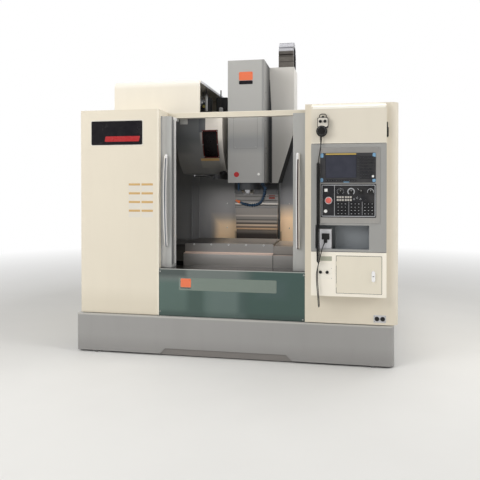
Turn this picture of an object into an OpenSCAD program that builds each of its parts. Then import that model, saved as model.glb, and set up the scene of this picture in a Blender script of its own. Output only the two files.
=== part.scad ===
// Vertical machining centre with three axes, a side tool changer and a wide sheet-metal enclosure.
// Inside every module X runs to the right, Y runs back from the front face of the base pan
// and Z runs up from the floor. home() then moves the origin under the middle of the machine.

/* [Overall] */
// Half of the overall width
half_w = 1294; // [1240:1:1400]
// How far the handwheel reaches in front of the pan
front_reach = 200; // [190:1:260]
// How far back the electrical cabinet reaches
back_reach = 2240; // [2200:1:2400]
// Sideways place of the spindle
mid = 14; // [0:1:20]
// Wall of every sheet-metal cover
sheet = 2.5; // [2:0.1:4]
// Gap between pieces that slide on each other
seat_gap = 0.3; // [0.2:0.05:0.5]
// Radial clearance of a shaft in its bore
run_gap = 0.05; // [0.02:0.01:0.1]

/* [Pan, feet and tank] */
// Underside of the pan wall above the floor
pan_gap = 15; // [10:1:30]
// Height of the top of the pan rim
pan_top = 319; // [280:1:360]
// How much the pan falls short on the right
pan_right_inset = 28; // [10:1:40]
// Depth of the pan
pan_depth = 1990; // [1980:1:2050]
// Radius of the pan's upright corners
pan_corner_r = 62; // [30:1:100]
// Wall of the pan
pan_wall = 6; // [4:0.5:10]
// Width of the rim turned in at the top
pan_rim_w = 46; // [30:1:60]
// Height of the cut-out at the front for the coolant tank
notch_top = 61; // [50:1:79]
// Left and right ends of that cut-out at its top
notch_x = [-532, 449]; // [-600:1:600]
// Radius of a levelling pad
pad_r = 60; // [40:1:80]

/* [Base, column and ways] */
// Half width of the base casting above its foot
base_half = 400; // [380:1:450]
// Height of the top of the base casting
base_top = 500; // [460:1:520]
// Front end of the base casting
base_front = 262; // [250:1:300]
// Radius of the anchor holes in the foot flange
anchor_r = 11; // [8:0.5:14]
// Front face of the column
column_y = 1360; // [1340:1:1400]
// Half width of the column above its flare
column_half = 215; // [180:1:216]
// Height of the top of the column
column_top = 2420; // [2300:1:2450]
// Width of a guide rail
rail_w = 35; // [25:1:45]
// Height of a guide rail
rail_h = 35; // [25:1:40]
// Half spacing of the rails on the base
y_rail_x = 260; // [220:1:280]
// Half spacing of the rails on the column
z_rail_x = 155; // [130:1:160]
// Radius of the Y and Z ball screws
screw_r = 20; // [16:0.5:25]

/* [Saddle and table] */
// Middle of the saddle, front to back, as it stands
saddle_y = 773; // [760:1:780]
// Half length of the saddle, front to back
saddle_half_y = 215; // [200:1:216]
// Half width of the saddle at its foot
saddle_half_x = 360; // [330:1:380]
// Half width of the saddle under the X rails
saddle_arm_x = 610; // [560:1:640]
// Height of the saddle's top face
saddle_top = 700; // [680:1:706]
// Height of the X ball screw
x_screw_z = 737; // [732:1:740]
// Radius of the X ball screw
x_screw_r = 16; // [12:0.5:20]
// Middle of the table, left to right, as it stands
table_x = -120; // [-300:1:300]
// Length of the table
table_l = 800; // [780:1:810]
// Width of the table
table_w = 500; // [480:1:510]
// Height of the table's top face
table_top = 867; // [862:1:880]
// Thickness of the table
table_t = 87; // [80:1:90]
// Width of a T-slot at the table's face
slot_w = 18; // [14:1:22]
// Lower edge of the skirt under the table's front edge
skirt_z = 648; // [646:1:680]
// How far the skirt stands out
skirt_out = 50; // [40:1:60]

/* [Way covers] */
// Half width of the tray under the X covers
wing_half = 990; // [985:1:1010]
// Length of one plate of the X covers
x_plate_l = 240; // [236:1:244]
// Length of one plate of the front Y cover
y_plate_l = 188; // [184:1:196]
// Length of one plate of the rear Y cover
y_rear_plate_l = 160; // [158:1:164]
// Length of one plate of the Z cover
z_plate_l = 188; // [184:1:194]
// Step in height between two nested plates
nest = 4; // [3.5:0.1:5]
// Height of the top of the X covers
x_cover_top = 849; // [845:1:853]
// Height of the top of the Y covers
y_cover_top = 630; // [624:1:634]
// Half width of the Z cover
z_cover_half = 219; // [215:1:222]
// Front face of the Z cover
z_cover_y = 1242; // [1240:1:1246]
// Lower end of the Z cover
z_cover_z0 = 828; // [820:1:836]
// Height where the Z cover hangs on the head
z_cover_z1 = 1340; // [1330:1:1350]

/* [Travels] */
// How far the table moves to the left of where it stands
x_back = 191; // [150:1:195]
// And to the right
x_ahead = 459; // [420:1:465]
// How far the saddle moves to the front
y_back = 235; // [200:1:236]
// And to the back
y_ahead = 205; // [180:1:206]
// How far the head moves down
z_back = 300; // [250:1:302]
// And up
z_ahead = 200; // [150:1:202]

/* [Head] */
// From the head cover's front to the spindle
head_overhang = 121; // [110:1:140]
// Front face of the head cover
head_y = 644; // [630:1:660]
// Width of the head cover
head_w = 335; // [310:1:350]
// Lower edge of the head cover
head_z0 = 1405; // [1400:1:1415]
// Height of the head cover's top
head_z1 = 2512; // [2480:1:2540]
// Front face of the side cover
side_y = 998; // [980:1:1020]
// Width of the side cover
side_w = 236; // [232:1:250]
// Upper end of its slanted edge
side_slant_z = 1901; // [1850:1:2000]
// Height of the spindle's lower end
nose_z = 1306; // [1290:1:1320]
// Radius of the spindle nose
nose_r = 64; // [55:1:70]
// Radius of the spindle shaft
shaft_r = 35; // [30:1:40]
// Large radius of the tool taper
taper_r = 22.2; // [15:0.1:30]
// Depth of the tool taper
taper_l = 68; // [40:1:80]

/* [Drag chain] */
// Width of the drag chain
chain_w = 142; // [120:1:145]
// Thickness of the drag chain
chain_t = 50; // [40:1:60]
// Bend radius at the middle of the chain
chain_bend = 125; // [110:1:135]
// Height of the chain's highest point
chain_top = 2810; // [2790:1:2830]
// Left edge of the chain
chain_x0 = 253; // [250:1:256]
// Front leg of the chain, at its middle
chain_y = 1150; // [1140:1:1160]
// Length of one link
link_l = 66; // [50:1:80]

/* [Tool changer] */
// Middle of the tool magazine, front to back
mag_y = 1125; // [1120:1:1130]
// Middle of the tool magazine, height
mag_z = 1910; // [1900:1:1915]
// Radius of the magazine cover
mag_r = 480; // [460:1:490]
// Left and right ends of the magazine cover
mag_x = [-644, -207]; // [-700:1:-206]
// Flat bottom of the magazine cover
mag_z0 = 1493; // [1490:1:1496]
// Radius of the circle of tool pots
pot_circle = 338; // [320:1:340]
// Radius of a tool pot
pot_r = 33; // [28:1:34]
// Number of tool pots
pots = 24; // [16:1:24]
// Middle of the changer arm, left to right
arm_x = -250; // [-256:1:-248]
// Its middle, front to back
arm_y = 900; // [890:1:910]
// Distance from the middle of the arm to a gripper
arm_reach = 294; // [280:1:300]
// Thickness of the arm
arm_t = 40; // [35:1:44]
// Radius of the arm's shaft
arm_shaft_r = 32; // [25:1:36]
// Left and right ends of the hood
hood_x = [-1160, -364]; // [-1200:1:-300]
// Front and back of the hood
hood_y = [450, 1608]; // [400:1:1700]
// Height of the hood's top
hood_top = 2314; // [2295:1:2330]
// Radius of the hood's front edge
hood_r = 42; // [20:1:60]

/* [Enclosure] */
// Height of the enclosure's top
skin_top = 2000; // [1990:1:2020]
// Front face of the left panel
panel_y = 22; // [15:1:30]
// Left and right ends of the left panel
side_x = [-1269, -592]; // [-1290:1:-500]
// Front face of the right cabinet
cabinet_y = 6; // [0:1:12]
// Left end of the right cabinet
cabinet_x0 = 594; // [585:1:605]
// Radius of the cabinet's upright outer corner
cabinet_r = 66; // [30:1:80]
// How far back the side walls reach
side_wall_y = 1960; // [1900:1:1985]
// Front face of the crossbeam
beam_y = 262; // [255:1:270]
// Height of the crossbeam
beam_h = 44; // [40:1:50]
// Front face of the apron under the doors
apron_y = 27; // [24:1:32]
// Height of the apron's top
sill_z = 703.7; // [690:0.1:715]
// Lower and upper end of the electrical cabinet
ecab_z = [420, 1950]; // [400:1:1990]
// Half width of the electrical cabinet
ecab_half = 430; // [400:1:480]

/* [Doors] */
// Front face of the doors
door_y = 90; // [88:1:95]
// Depth of a door's free edge
door_d = 128; // [110:1:130]
// Height of the top of the doors
door_top = 1947; // [1940:1:1949]
// Free edge of the left door and of the right door
door_x = [-507, 494]; // [-530:1:500]
// Width of a door
door_w = 610; // [600:1:620]
// Width of a door window
glass_w = 330; // [280:1:380]
// Height of a door window
glass_h = 620; // [500:1:700]
// Height of the middle of a door window
glass_z = 1400; // [1300:1:1450]
// Thickness of a door window
glass_t = 8; // [6:0.5:10]
// Lower and upper end of a door handle
handle_z = [880, 1630]; // [800:1:1700]
// Radius of the handle bar
handle_r = 16; // [10:0.5:18]
// How far the handle stands out from the door
handle_out = 62; // [58:1:63]

/* [Console] */
// Left and right ends of the control console
con_x = [648, 1195]; // [600:1:1250]
// How far the console stands in front of the pan
con_out = 122; // [115:1:130]
// Lower end, two seams and upper end of the console
con_z = [556, 887, 1683, 1958]; // [540:1:1980]
// Left end, right end, bottom and top of the pocket
pocket = [681, 1071, 906, 1082]; // [600:1:1200]
// Depth of the pocket
pocket_d = 90; // [70:1:100]
// Left end, right end, bottom and top of the steel backplate
bplate = [704, 1148, 1099, 1655]; // [600:1:1700]
// Thickness of the backplate
back_t = 4; // [2:0.5:6]
// Left end, right end, bottom and top of the display unit
disp = [717, 1118, 1396, 1614]; // [600:1:1700]
// Thickness of the display unit's bezel
disp_t = 14; // [8:0.5:20]
// Left end, right end, bottom and top of the operator panel
panel = [721, 1121, 1140, 1388]; // [600:1:1500]
// Thickness of the operator panel
op_t = 8; // [6:0.5:14]
// Height of the row of rotary knobs
knob_z = 1331; // [1325:1:1335]
// Sideways places of the four rotary knobs
knob_x = [864, 941, 1012, 1080];
// Radius of a rotary knob
knob_r = 15; // [10:0.5:18]
// Height of a rotary knob
knob_h = 20; // [12:1:26]
// Emergency stop, left to right
stop_x = 778; // [765:1:790]
// Its height
stop_z = 1265; // [1255:1:1275]
// Radius of the emergency stop
stop_r = 21; // [15:0.5:24]
// Travel of the emergency stop
stop_travel = 6; // [4:0.5:8]
// Radius of a button or knob stem
stem_r = 4; // [3:0.5:6]
// Sideways places of the two power buttons
power_x = [719, 768]; // [700:1:800]
// Height of the two power buttons
power_z = 732.6; // [720:0.1:745]
// Radius of a power button
power_r = 11.5; // [8:0.5:14]
// Travel of a power button
power_travel = 4; // [2:0.5:6]
// Left end, right end, bottom and top of the compartment door
cdoor = [836, 1161, 581.5, 854.5]; // [500:0.5:1300]
// Lower and upper end of the side latch
latch_z = [1732, 1844]; // [1700:1:1900]

/* [Handwheel pendant] */
// Left and right ends of the pendant
pend_x = [696, 776]; // [680:1:800]
// Lower and upper end of the pendant
pend_z = [1734, 1876]; // [1700:1:1900]
// Thickness of the pendant
pend_t = 46; // [40:1:50]
// Handwheel, left to right
dial_x = 728; // [726:1:732]
// Its height
dial_z = 1775; // [1772:1:1778]
// Radius of the handwheel
dial_r = 34; // [28:1:36]
// Outer radius of the curly cord
coil_r = 14; // [10:0.5:15]
// Radius of the cord itself
cord_r = 3.2; // [2.5:0.1:4]

/* [Hidden] */

// Sizes that seldom change
column_wall = 34;
pad_t = 22;
foot_screw_r = 12;
pan_floor_z = 84;
notch_flare = 62;
pan_left_r = 8;
tank_h = 58;
tank_depth = 200;
foot_z = 60;
foot_w = 40;
y_screw_z = 560;
z_screw_y = 58;
saddle_arm_z = 640;
x_rail_y = 150;
slot_pitch = 100;
side_foot_w = 82;
mag_z1 = 2050;
arm_z = 1440;
skin_gap = 6;
guard_y = 1345;
comp_d = 96;
handle_in = 40;
clatch_z = 711;
clatch_x = 1102;
housing_r = 104;
head_back = 1190;
side_back = 1332;
column_back = 1970;
plate_t = 1.5;
beam_d = 60;
axle_r = 40;
sill_d = 205;

// Sizes worked out from the others
home_y = (back_reach - front_reach) / 2;
pan_x0 = -half_w;
pan_x1 = half_w - pan_right_inset;
skin_z = pan_top + skin_gap;
head_x0 = mid - head_w / 2;
head_x1 = mid + head_w / 2;
spindle_y = head_y + head_overhang;
side_x1 = head_x1 + side_w;
saddle_z = base_top + rail_h + 25;
table_z = table_top - table_t;
table_y0 = saddle_y - table_w / 2;
door_z = sill_z + seat_gap;
cover_steps = 3;
y_cover_front = 60;
x_motor_r = 41;
y_motor_r = 54;
guard_half = 10;
beam_z = skin_top - sheet - seat_gap - beam_h;
con_y = -con_out;
ecab_d = back_reach - column_back;
panel_face = con_y - back_t;
cover_half_y = table_w / 2 - 5;

// Moves a piece from machine coordinates to the frame of the finished part
module home() translate([0, -home_y, 0]) children();

// A block between two corners
module block(a, b) translate(a) cube([b[0] - a[0], b[1] - a[1], b[2] - a[2]]);

// A block with rounded upright edges
module rblock(a, b, r) translate([a[0], a[1], a[2]])
  linear_extrude(b[2] - a[2]) rounded_rect(b[0] - a[0], b[1] - a[1], r);

// A rectangle with round corners, its corner at the origin
module rounded_rect(w, h, r) {
  translate([r, 0]) square([w - 2 * r, h]);
  translate([0, r]) square([w, h - 2 * r]);
  for (x = [r, w - r], y = [r, h - r]) translate([x, y]) circle(r, $fn = 40);
}

// A plate standing across the machine, from a round-cornered outline in X and Z
module face_plate(x0, x1, z0, z1, y0, y1, r) translate([x0, y1, z0]) rotate([90, 0, 0])
  linear_extrude(y1 - y0) rounded_rect(x1 - x0, z1 - z0, r);

// A round bar along X, Y or Z
module bar_x(x0, x1, y, z, r) translate([x0, y, z]) rotate([0, 90, 0]) cylinder(h = x1 - x0, r = r, $fn = 48);
module bar_y(x, y0, y1, z, r) translate([x, y0, z]) rotate([-90, 0, 0]) cylinder(h = y1 - y0, r = r, $fn = 48);
module bar_z(x, y, z0, z1, r) translate([x, y, z0]) cylinder(h = z1 - z0, r = r, $fn = 48);

// A guide rail of waisted section, lying along X, its foot on z = 0
module rail_x(l) rotate([90, 0, 90]) linear_extrude(l) rail_section();
module rail_section() polygon([[-rail_w / 2, 0], [rail_w / 2, 0], [rail_w / 2, rail_h * 0.35],
  [rail_w / 2 - 5, rail_h * 0.5], [rail_w / 2, rail_h * 0.68], [rail_w / 2, rail_h], [-rail_w / 2, rail_h],
  [-rail_w / 2, rail_h * 0.68], [-rail_w / 2 + 5, rail_h * 0.5], [-rail_w / 2, rail_h * 0.35]]);

// A carriage that straddles a rail along X, its underside 4 mm above the rail's foot
module carriage_x(l, top) difference() {
  translate([-l / 2, -rail_w / 2 - 16, 4]) cube([l, rail_w + 32, top - 4]);
  translate([-l / 2 - 1, -rail_w / 2 - seat_gap, 0]) cube([l + 2, rail_w + 2 * seat_gap, rail_h + seat_gap]);
}

// One nested cover plate: an inverted channel along X, its top at z = 0, with a wiper lip at one end
module channel_x(l, half, drop, lip_at) {
  block([0, -half, -plate_t], [l, half, 0]);
  for (s = [-1, 1]) block([0, s < 0 ? -half : half - plate_t, -drop], [l, s < 0 ? -half + plate_t : half, 0]);
  block([lip_at, -half, -nest + seat_gap], [lip_at + 5, half, 0]);
}

// The feet: eight big levelling pads under the base and small pads under the pan's wall
module levelling_feet() home() color("dimgray") {
  for (x = [-1, 1], y = [330, 860, 1390, 1910])
    translate([mid + x * (base_half + foot_w / 2 - 20), y, 0]) {
      rotate_extrude($fn = 48) polygon([[0, 0], [pad_r, 0], [pad_r, pad_t * 0.55], [pad_r * 0.6, pad_t], [0, pad_t]]);
      cylinder(h = foot_z, r = foot_screw_r, $fn = 32);
      translate([0, 0, pad_t]) cylinder(h = 14, r = foot_screw_r * 1.8, $fn = 6);
    }
  for (x = [pan_x0 + 160, pan_x1 - 160], y = [pan_wall / 2 + 24, pan_depth - 40])
    translate([x, y, 0]) cylinder(h = pan_gap, r = 24, $fn = 32);
  for (x = [pan_x0 + 40, pan_x1 - 40]) translate([x, pan_depth / 2, 0]) cylinder(h = pan_gap, r = 24, $fn = 32);
}

module pan_outline(inset) translate([pan_x0 + inset, inset]) {
  rounded_rect(pan_x1 - pan_x0 - 2 * inset, pan_depth - 2 * inset, pan_corner_r - inset);
  rounded_rect(200, 200, max(pan_left_r - inset, 1));
}

// The pan that catches chips and coolant, with the coolant tank under it
module coolant_pan() home() color("darkgray") {
  difference() {
    translate([0, 0, pan_gap]) linear_extrude(pan_top - pan_gap) pan_outline(0);
    translate([0, 0, pan_floor_z + 4]) linear_extrude(pan_top - pan_floor_z - 8) pan_outline(pan_wall);
    translate([0, 0, pan_floor_z]) linear_extrude(pan_top) pan_outline(pan_rim_w);
    translate([0, 0, -1]) linear_extrude(pan_floor_z + 1) pan_outline(pan_wall);
    translate([0, pan_wall + 1, 0]) rotate([90, 0, 0]) linear_extrude(pan_wall + 2)
      polygon([[notch_x[0] - notch_flare, 0], [notch_x[1] + notch_flare, 0], [notch_x[1], notch_top],
        [notch_x[0], notch_top]]);
    block([mid - base_half, base_front, 0], [mid + base_half, column_back, pan_top]);
  }
  difference() {
    translate([0, 0, pan_floor_z]) linear_extrude(4) pan_outline(pan_wall - 1);
    block([mid - base_half - seat_gap, base_front - seat_gap, 0],
      [mid + base_half + seat_gap, column_back + seat_gap, pan_top]);
    anchor_holes(anchor_r + 4);
  }
  for (x = [pan_x0 + 160, pan_x1 - 160], y = [0, pan_depth - 64])
    block([x - 30, y + 2, pan_gap], [x + 30, y + 62, pan_gap + 5]);
  for (x = [pan_x0 + 2, pan_x1 - 76])
    block([x, pan_depth / 2 - 30, pan_gap], [x + 74, pan_depth / 2 + 30, pan_gap + 5]);
  difference() {
    rblock([notch_x[0] - 50, 8, 10], [notch_x[1] + 50, 8 + tank_depth, 10 + tank_h], 20);
    rblock([notch_x[0] - 47, 11, 13], [notch_x[1] + 47, 5 + tank_depth, 14 + tank_h], 18);
  }
  for (x = [notch_x[0] + 80, notch_x[1] - 80], y = [60, tank_depth - 20]) bar_z(x, y, 0, 12, 18);
  for (x = [notch_x[0] + 40, notch_x[1] - 80]) block([x, 9, tank_h + 6], [x + 40, 60, pan_floor_z + 1]);
}

module anchor_holes(r) for (x = [-1, 1], y = [base_front + 220, column_back - 220])
  bar_z(mid + x * (base_half + foot_w / 2), y, foot_z - 1, pan_floor_z + 6, r);

// The cast base with its foot flange, the Y rails, the screw bearings and the Y motor
module base_casting() home() color("slategray") {
  x0 = mid - base_half;
  x1 = mid + base_half;
  difference() {
    union() {
      block([x0, base_front, pan_floor_z], [x1, column_back, base_top]);
      block([x0 - foot_w, base_front - 12, foot_z], [x1 + foot_w, column_back, pan_floor_z]);
      block([mid - 340, y_cover_front, base_top - 150], [mid + 340, base_front, base_top]);
    }
    block([x0 + 40, base_front + 60, foot_z - 1], [x1 - 40, column_back - 60, base_top - 60]);
    for (x = [x0 - 1, x1 - 24], y = [base_front + 90 : 330 : column_back - 300])
      block([x, y, 150], [x + 25, y + 250, base_top - 110]);
    rotate([90, 0, 90]) translate([0, 0, mid - 341]) linear_extrude(682)
      polygon([[y_cover_front - 1, base_top - 151], [base_front - 20, base_top - 151],
        [y_cover_front - 1, base_top - 40]]);
    anchor_holes(anchor_r);
  }
  for (x = [-1, 1]) translate([mid + x * y_rail_x, base_front + 18, base_top])
    rotate([0, 0, 90]) rail_x(column_y - base_front - 60);
  difference() {
    for (y = [base_front + 28, column_y - 70]) block([mid - 42, y, base_top], [mid + 42, y + 30, y_screw_z + 38]);
    bar_y(mid, base_front, column_y - 40 - 8, y_screw_z, screw_r + run_gap);
  }
  rblock([mid - y_motor_r, column_y - 40, base_top], [mid + y_motor_r, column_y + 150, base_top + 16], 4);
  bar_y(mid, column_y - 40, column_y + 150, y_screw_z, y_motor_r - 2);
  bar_y(mid, column_y + 150, column_y + 190, y_screw_z, y_motor_r - 16);
}

// Outline of the column, drawn in by t to give its hollow, which is open at the foot
module column_body(t) intersection() {
  translate([mid, column_back - t, 0]) rotate([90, 0, 0]) linear_extrude(column_back - column_y - 2 * t)
    for (s = [0, 1]) mirror([s, 0]) polygon([[-1, low_end(t)], [330 - t, low_end(t)], [320 - t, 760],
      [column_half - t, 1060], [column_half - t, column_top - t], [-1, column_top - t]]);
  rotate([90, 0, 90]) translate([0, 0, -400]) linear_extrude(800)
    polygon([[column_y + t, low_end(t)], [column_back - t, low_end(t)], [column_back - t, 1250],
      [1760 - t, column_top - t], [column_y + t, column_top - t]]);
}
function low_end(t) = base_top - (t > 0 ? 1 : 0);

// The cast column: flared foot, side openings, tunnel for the Y motor, the Z rails and the Z motor
module column() home() color("slategray") {
  difference() {
    column_body(0);
    column_body(column_wall);
    block([mid - y_motor_r - 8, column_y - 1, base_top - 1],
      [mid + y_motor_r + 8, column_y + 260, y_screw_z + y_motor_r + 8]);
    for (z = [1150 : 370 : 1900]) translate([mid - column_half - 1, 1570, z]) rotate([90, 0, 90])
      linear_extrude(2 * column_half + 2) rounded_rect(150, 230, 40);
  }
  for (x = [-1, 1]) translate([mid + x * z_rail_x, column_y, z_cover_z0 + 14])
    rotate([0, 0, 180]) linear_extrude(column_top - z_cover_z0 - 40) rail_section();
  difference() {
    for (z = [z_cover_z0 + 22, column_top - 44])
      block([mid - 42, column_y - z_screw_y - 32, z], [mid + 42, column_y, z + 30]);
    bar_z(mid, column_y - z_screw_y, z_cover_z0 + 30, column_top, screw_r + run_gap);
  }
  block([mid - 70, column_y - z_screw_y - 62, column_top - 14], [mid + 70, column_y + 60, column_top + 6]);
  rblock([mid - 62, column_y - z_screw_y - 62, column_top + 6],
    [mid + 62, column_y - z_screw_y + 62, column_top + 166], 22);
  bar_z(mid, column_y - z_screw_y, column_top + 166, column_top + 196, 44);
  chain_trough();
}

// The open trough on the column's side that holds the fixed leg of the drag chain
module chain_trough() {
  y0 = chain_y + 2 * chain_bend - chain_t / 2 - 14;
  y1 = chain_y + 2 * chain_bend + chain_t / 2 + seat_gap;
  x1 = chain_x0 + chain_w + 4;
  difference() {
    block([mid + column_half, max(y0, column_y + 2), 1560], [x1 + 3, y1 + 3, 2380]);
    block([chain_x0 - 4, y0 - 20, 1563], [x1, y1, 2381]);
  }
}

// One leg or a whole loop of chain links is drawn by these two
module chain_link(l) {
  block([chain_x0, -chain_t / 2, 3], [chain_x0 + chain_w, chain_t / 2, l - 3]);
  block([chain_x0 + 8, -chain_t / 2 + 5, 0], [chain_x0 + chain_w - 8, chain_t / 2 - 5, l]);
}

module drag_chain() home() color([0.12, 0.12, 0.13]) {
  bend_z = chain_top - chain_bend - chain_t / 2;
  legs = 8;
  turns = 6;
  for (i = [1 : legs]) {
    translate([0, chain_y, bend_z - i * link_l]) chain_link(link_l);
    translate([0, chain_y + 2 * chain_bend, bend_z - i * link_l]) chain_link(link_l);
  }
  for (i = [0 : turns - 1]) translate([0, chain_y + chain_bend, bend_z])
    rotate([-(i + 0.5) * 180 / turns, 0, 0]) translate([0, -chain_bend, -link_l / 2]) chain_link(link_l);
}

// Left side of the enclosure: front panel with its returns, side wall, roof strip and low plinth
module left_enclosure() home() color("oldlace") {
  block([side_x[0], panel_y, skin_z], [side_x[1], panel_y + sheet, skin_top]);
  block([side_x[1] - sheet, panel_y, skin_z], [side_x[1], door_y - 12, skin_top]);
  block([side_x[0], panel_y, skin_z], [side_x[0] + sheet, side_wall_y, skin_top]);
  block([side_x[0], panel_y, skin_top - sheet], [side_x[1], beam_y - seat_gap, skin_top]);
  block([side_x[1] - sheet, panel_y, door_top + 4], [side_x[1], beam_y - seat_gap, skin_top]);
  block([side_x[0], beam_y - 4, skin_top - sheet], [mag_x[0] - 30, side_wall_y, skin_top]);
  block([mag_x[0] - 30 - sheet, beam_y + beam_d + 4, skin_top - 40], [mag_x[0] - 30, side_wall_y, skin_top]);
  block([side_x[0] + 24, panel_y + 14, pan_top], [side_x[1] - 24, panel_y + 26, skin_z + 20]);
  block([side_x[0] + sheet, panel_y + sheet, skin_z], [side_x[1] - sheet, panel_y + 40, skin_z + sheet]);
  block([side_x[0] + 14, panel_y + 14, pan_top], [side_x[0] + 26, side_wall_y, skin_z + 20]);
  block([side_x[0] + sheet, panel_y + 40, skin_z], [side_x[0] + 40, side_wall_y, skin_z + sheet]);
  block([side_x[0], side_wall_y - sheet, skin_z], [side_x[0] + 420, side_wall_y, skin_top]);
  for (z = [900, 1500]) block([side_x[0] + sheet, 400, z], [side_x[0] + 22, side_wall_y - sheet, z + 40]);
}

module cabinet_outline(t) difference() {
  translate([cabinet_x0, cabinet_y]) {
    square([half_w - cabinet_x0 - cabinet_r, side_wall_y - cabinet_y]);
    translate([0, cabinet_r]) square([half_w - cabinet_x0, side_wall_y - cabinet_y - cabinet_r]);
    translate([half_w - cabinet_x0 - cabinet_r, cabinet_r]) circle(cabinet_r, $fn = 64);
  }
  if (t > 0) translate([cabinet_x0 - 1, cabinet_y + t]) {
    square([half_w - cabinet_x0 - cabinet_r + 1, side_wall_y]);
    translate([0, cabinet_r - t]) square([half_w - cabinet_x0 - t + 1, side_wall_y]);
    translate([half_w - cabinet_x0 - cabinet_r + 1, cabinet_r - t]) circle(cabinet_r - t, $fn = 64);
  }
}

// Right side: front cabinet with its round corner, side wall, roof strip and two air ports
module right_cabinet() home() color("oldlace") {
  translate([0, 0, skin_z]) linear_extrude(skin_top - skin_z) cabinet_outline(sheet);
  intersection() {
    translate([0, 0, skin_top - sheet]) linear_extrude(sheet) cabinet_outline(0);
    union() {
      block([cabinet_x0, cabinet_y, 0], [half_w, beam_y - seat_gap, skin_top]);
      block([mid + 640, beam_y - 4, 0], [half_w, side_wall_y, skin_top]);
    }
  }
  block([cabinet_x0, cabinet_y, skin_z], [cabinet_x0 + sheet, door_y - 12, skin_top]);
  block([cabinet_x0 + 24, panel_y + 14, pan_top], [half_w - cabinet_r - 20, panel_y + 26, skin_z + 20]);
  block([cabinet_x0 + sheet, cabinet_y + sheet - 0.5, skin_z], [half_w - cabinet_r, panel_y + 26, skin_z + sheet]);
  block([pan_x1 - 26, panel_y + 60, pan_top], [pan_x1 - 14, side_wall_y, skin_z + 20]);
  block([pan_x1 - 40, panel_y + 60, skin_z], [half_w - 1, side_wall_y, skin_z + sheet]);
  block([half_w - 420, side_wall_y - sheet, skin_z], [half_w - 1, side_wall_y, skin_top]);
  for (z = [900, 1500]) block([half_w - 22, 400, z], [half_w - 1, side_wall_y - sheet, z + 40]);
  difference() {
    for (x = air_x) bar_y(x, cabinet_y - 10, cabinet_y + 1, air_z, 13);
    for (x = air_x) bar_y(x, cabinet_y - 12, cabinet_y - 1, air_z, air_bore);
  }
}
air_x = [half_w - 159, half_w - 117];
air_z = 371;
air_bore = 6;

// The beam over the door opening; the doors hang on its underside
module crossbeam() home() color("oldlace") difference() {
  block([side_x[0] + sheet, beam_y, beam_z], [half_w - sheet, beam_y + beam_d, beam_z + beam_h]);
  block([side_x[0], beam_y + sheet, beam_z + sheet], [half_w, beam_y + beam_d - sheet, beam_z + beam_h - sheet]);
}

// The stainless apron under the doors, with the sill that the doors run on
module front_apron() home() color("silver") {
  block([side_x[1] + seat_gap, apron_y, skin_z - 4], [cabinet_x0 - seat_gap, apron_y + sheet, sill_z]);
  block([side_x[1] + seat_gap, apron_y, sill_z - sheet], [cabinet_x0 - seat_gap, apron_y + sill_d, sill_z]);
  block([side_x[1] - 450, door_y - 11, sill_z - sheet], [cabinet_x0 + 450, apron_y + sill_d, sill_z]);
  block([side_x[1] - 450, apron_y + sill_d - sheet, sill_z - 60], [cabinet_x0 + 450, apron_y + sill_d, sill_z]);
  block([side_x[1] + seat_gap, apron_y, pan_top], [cabinet_x0 - seat_gap, apron_y + 24, skin_z - 4 + sheet]);
  for (x = [side_x[1] - 400, side_x[1] - 30, cabinet_x0 + 30, cabinet_x0 + 360])
    block([x, apron_y + sill_d - 60, pan_top], [x + 40, apron_y + sill_d - sheet, sill_z - sheet]);
}

// Splash guards behind the table, fixed plates of the Y and Z covers
module inner_guards() home() color("wheat") {
  y1 = guard_y + sheet;
  left_out = side_x[0] + sheet;
  right_out = half_w - sheet;
  xl = mid - z_cover_half - guard_half;
  xr = mid + z_cover_half + guard_half;
  difference() {
    union() {
      block([left_out, guard_y, 560], [xl, y1, skin_top - 60]);
      block([xr, guard_y, 560], [right_out, y1, skin_top - 60]);
      for (x = [-700, -620, 640]) block([x, guard_y - 10, 560], [x + 12, guard_y, skin_top - 60]);
      for (x = [xl - sheet, xr]) block([x, guard_y, 760], [x + sheet, column_y, 1700]);
      block([left_out, guard_y - 120, 560], [xl, guard_y, 563]);
      block([xr, guard_y - 120, 560], [right_out, guard_y, 563]);
    }
    block([mag_x[0] - 20, guard_y - 20, mag_z0 - 12], [mid - z_cover_half, column_y, skin_top]);
    block([mid - 334, guard_y - 200, 500], [mid + 334, column_y + 1, y_cover_top + 6]);
    for (x = [side_x[0], half_w - 23], z = [900, 1500]) block([x, guard_y - 1, z - 1], [x + 23, y1 + 1, z + 41]);
    for (x = [xl - 95, xr + 95], z = [950, 1200]) bar_y(x, guard_y - 2, y1 + 1, z, 4);
  }
  y_cover_fixed();
  z_cover_fixed();
}

// Fixed plates of the two Y covers, on the base's nose and on the column's foot
module y_cover_fixed() {
  translate([mid, y_cover_front, y_cover_top - cover_steps * nest]) y_plate(y_plate_l, cover_steps, false);
  translate([mid, column_y - y_rear_plate_l, y_cover_top - cover_steps * nest])
    y_plate(y_rear_plate_l, cover_steps, false);
  block([mid - 330 + cover_steps * nest, y_cover_front, base_top],
    [mid + 330 - cover_steps * nest, y_cover_front + 3, y_cover_top - cover_steps * nest - 1]);
}

// A Y plate of a nesting level, running back from its origin; a moving one has its lip at the far end
module y_plate(l, level, lip_far) rotate([0, 0, 90]) mirror([0, 1, 0])
  channel_x(l, 330 - level * nest, y_cover_top - level * nest - base_top - 4, lip_far ? l - 5 : 0);

// The lowest Z plate with the shelf that holds it on the column
module z_cover_fixed() {
  translate([mid, 0, z_cover_z0]) z_plate(cover_steps);
  block([mid - z_cover_half + cover_steps * nest, z_cover_y + cover_steps * nest, z_cover_z0],
    [mid + z_cover_half - cover_steps * nest, column_y, z_cover_z0 + 2]);
}

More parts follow.
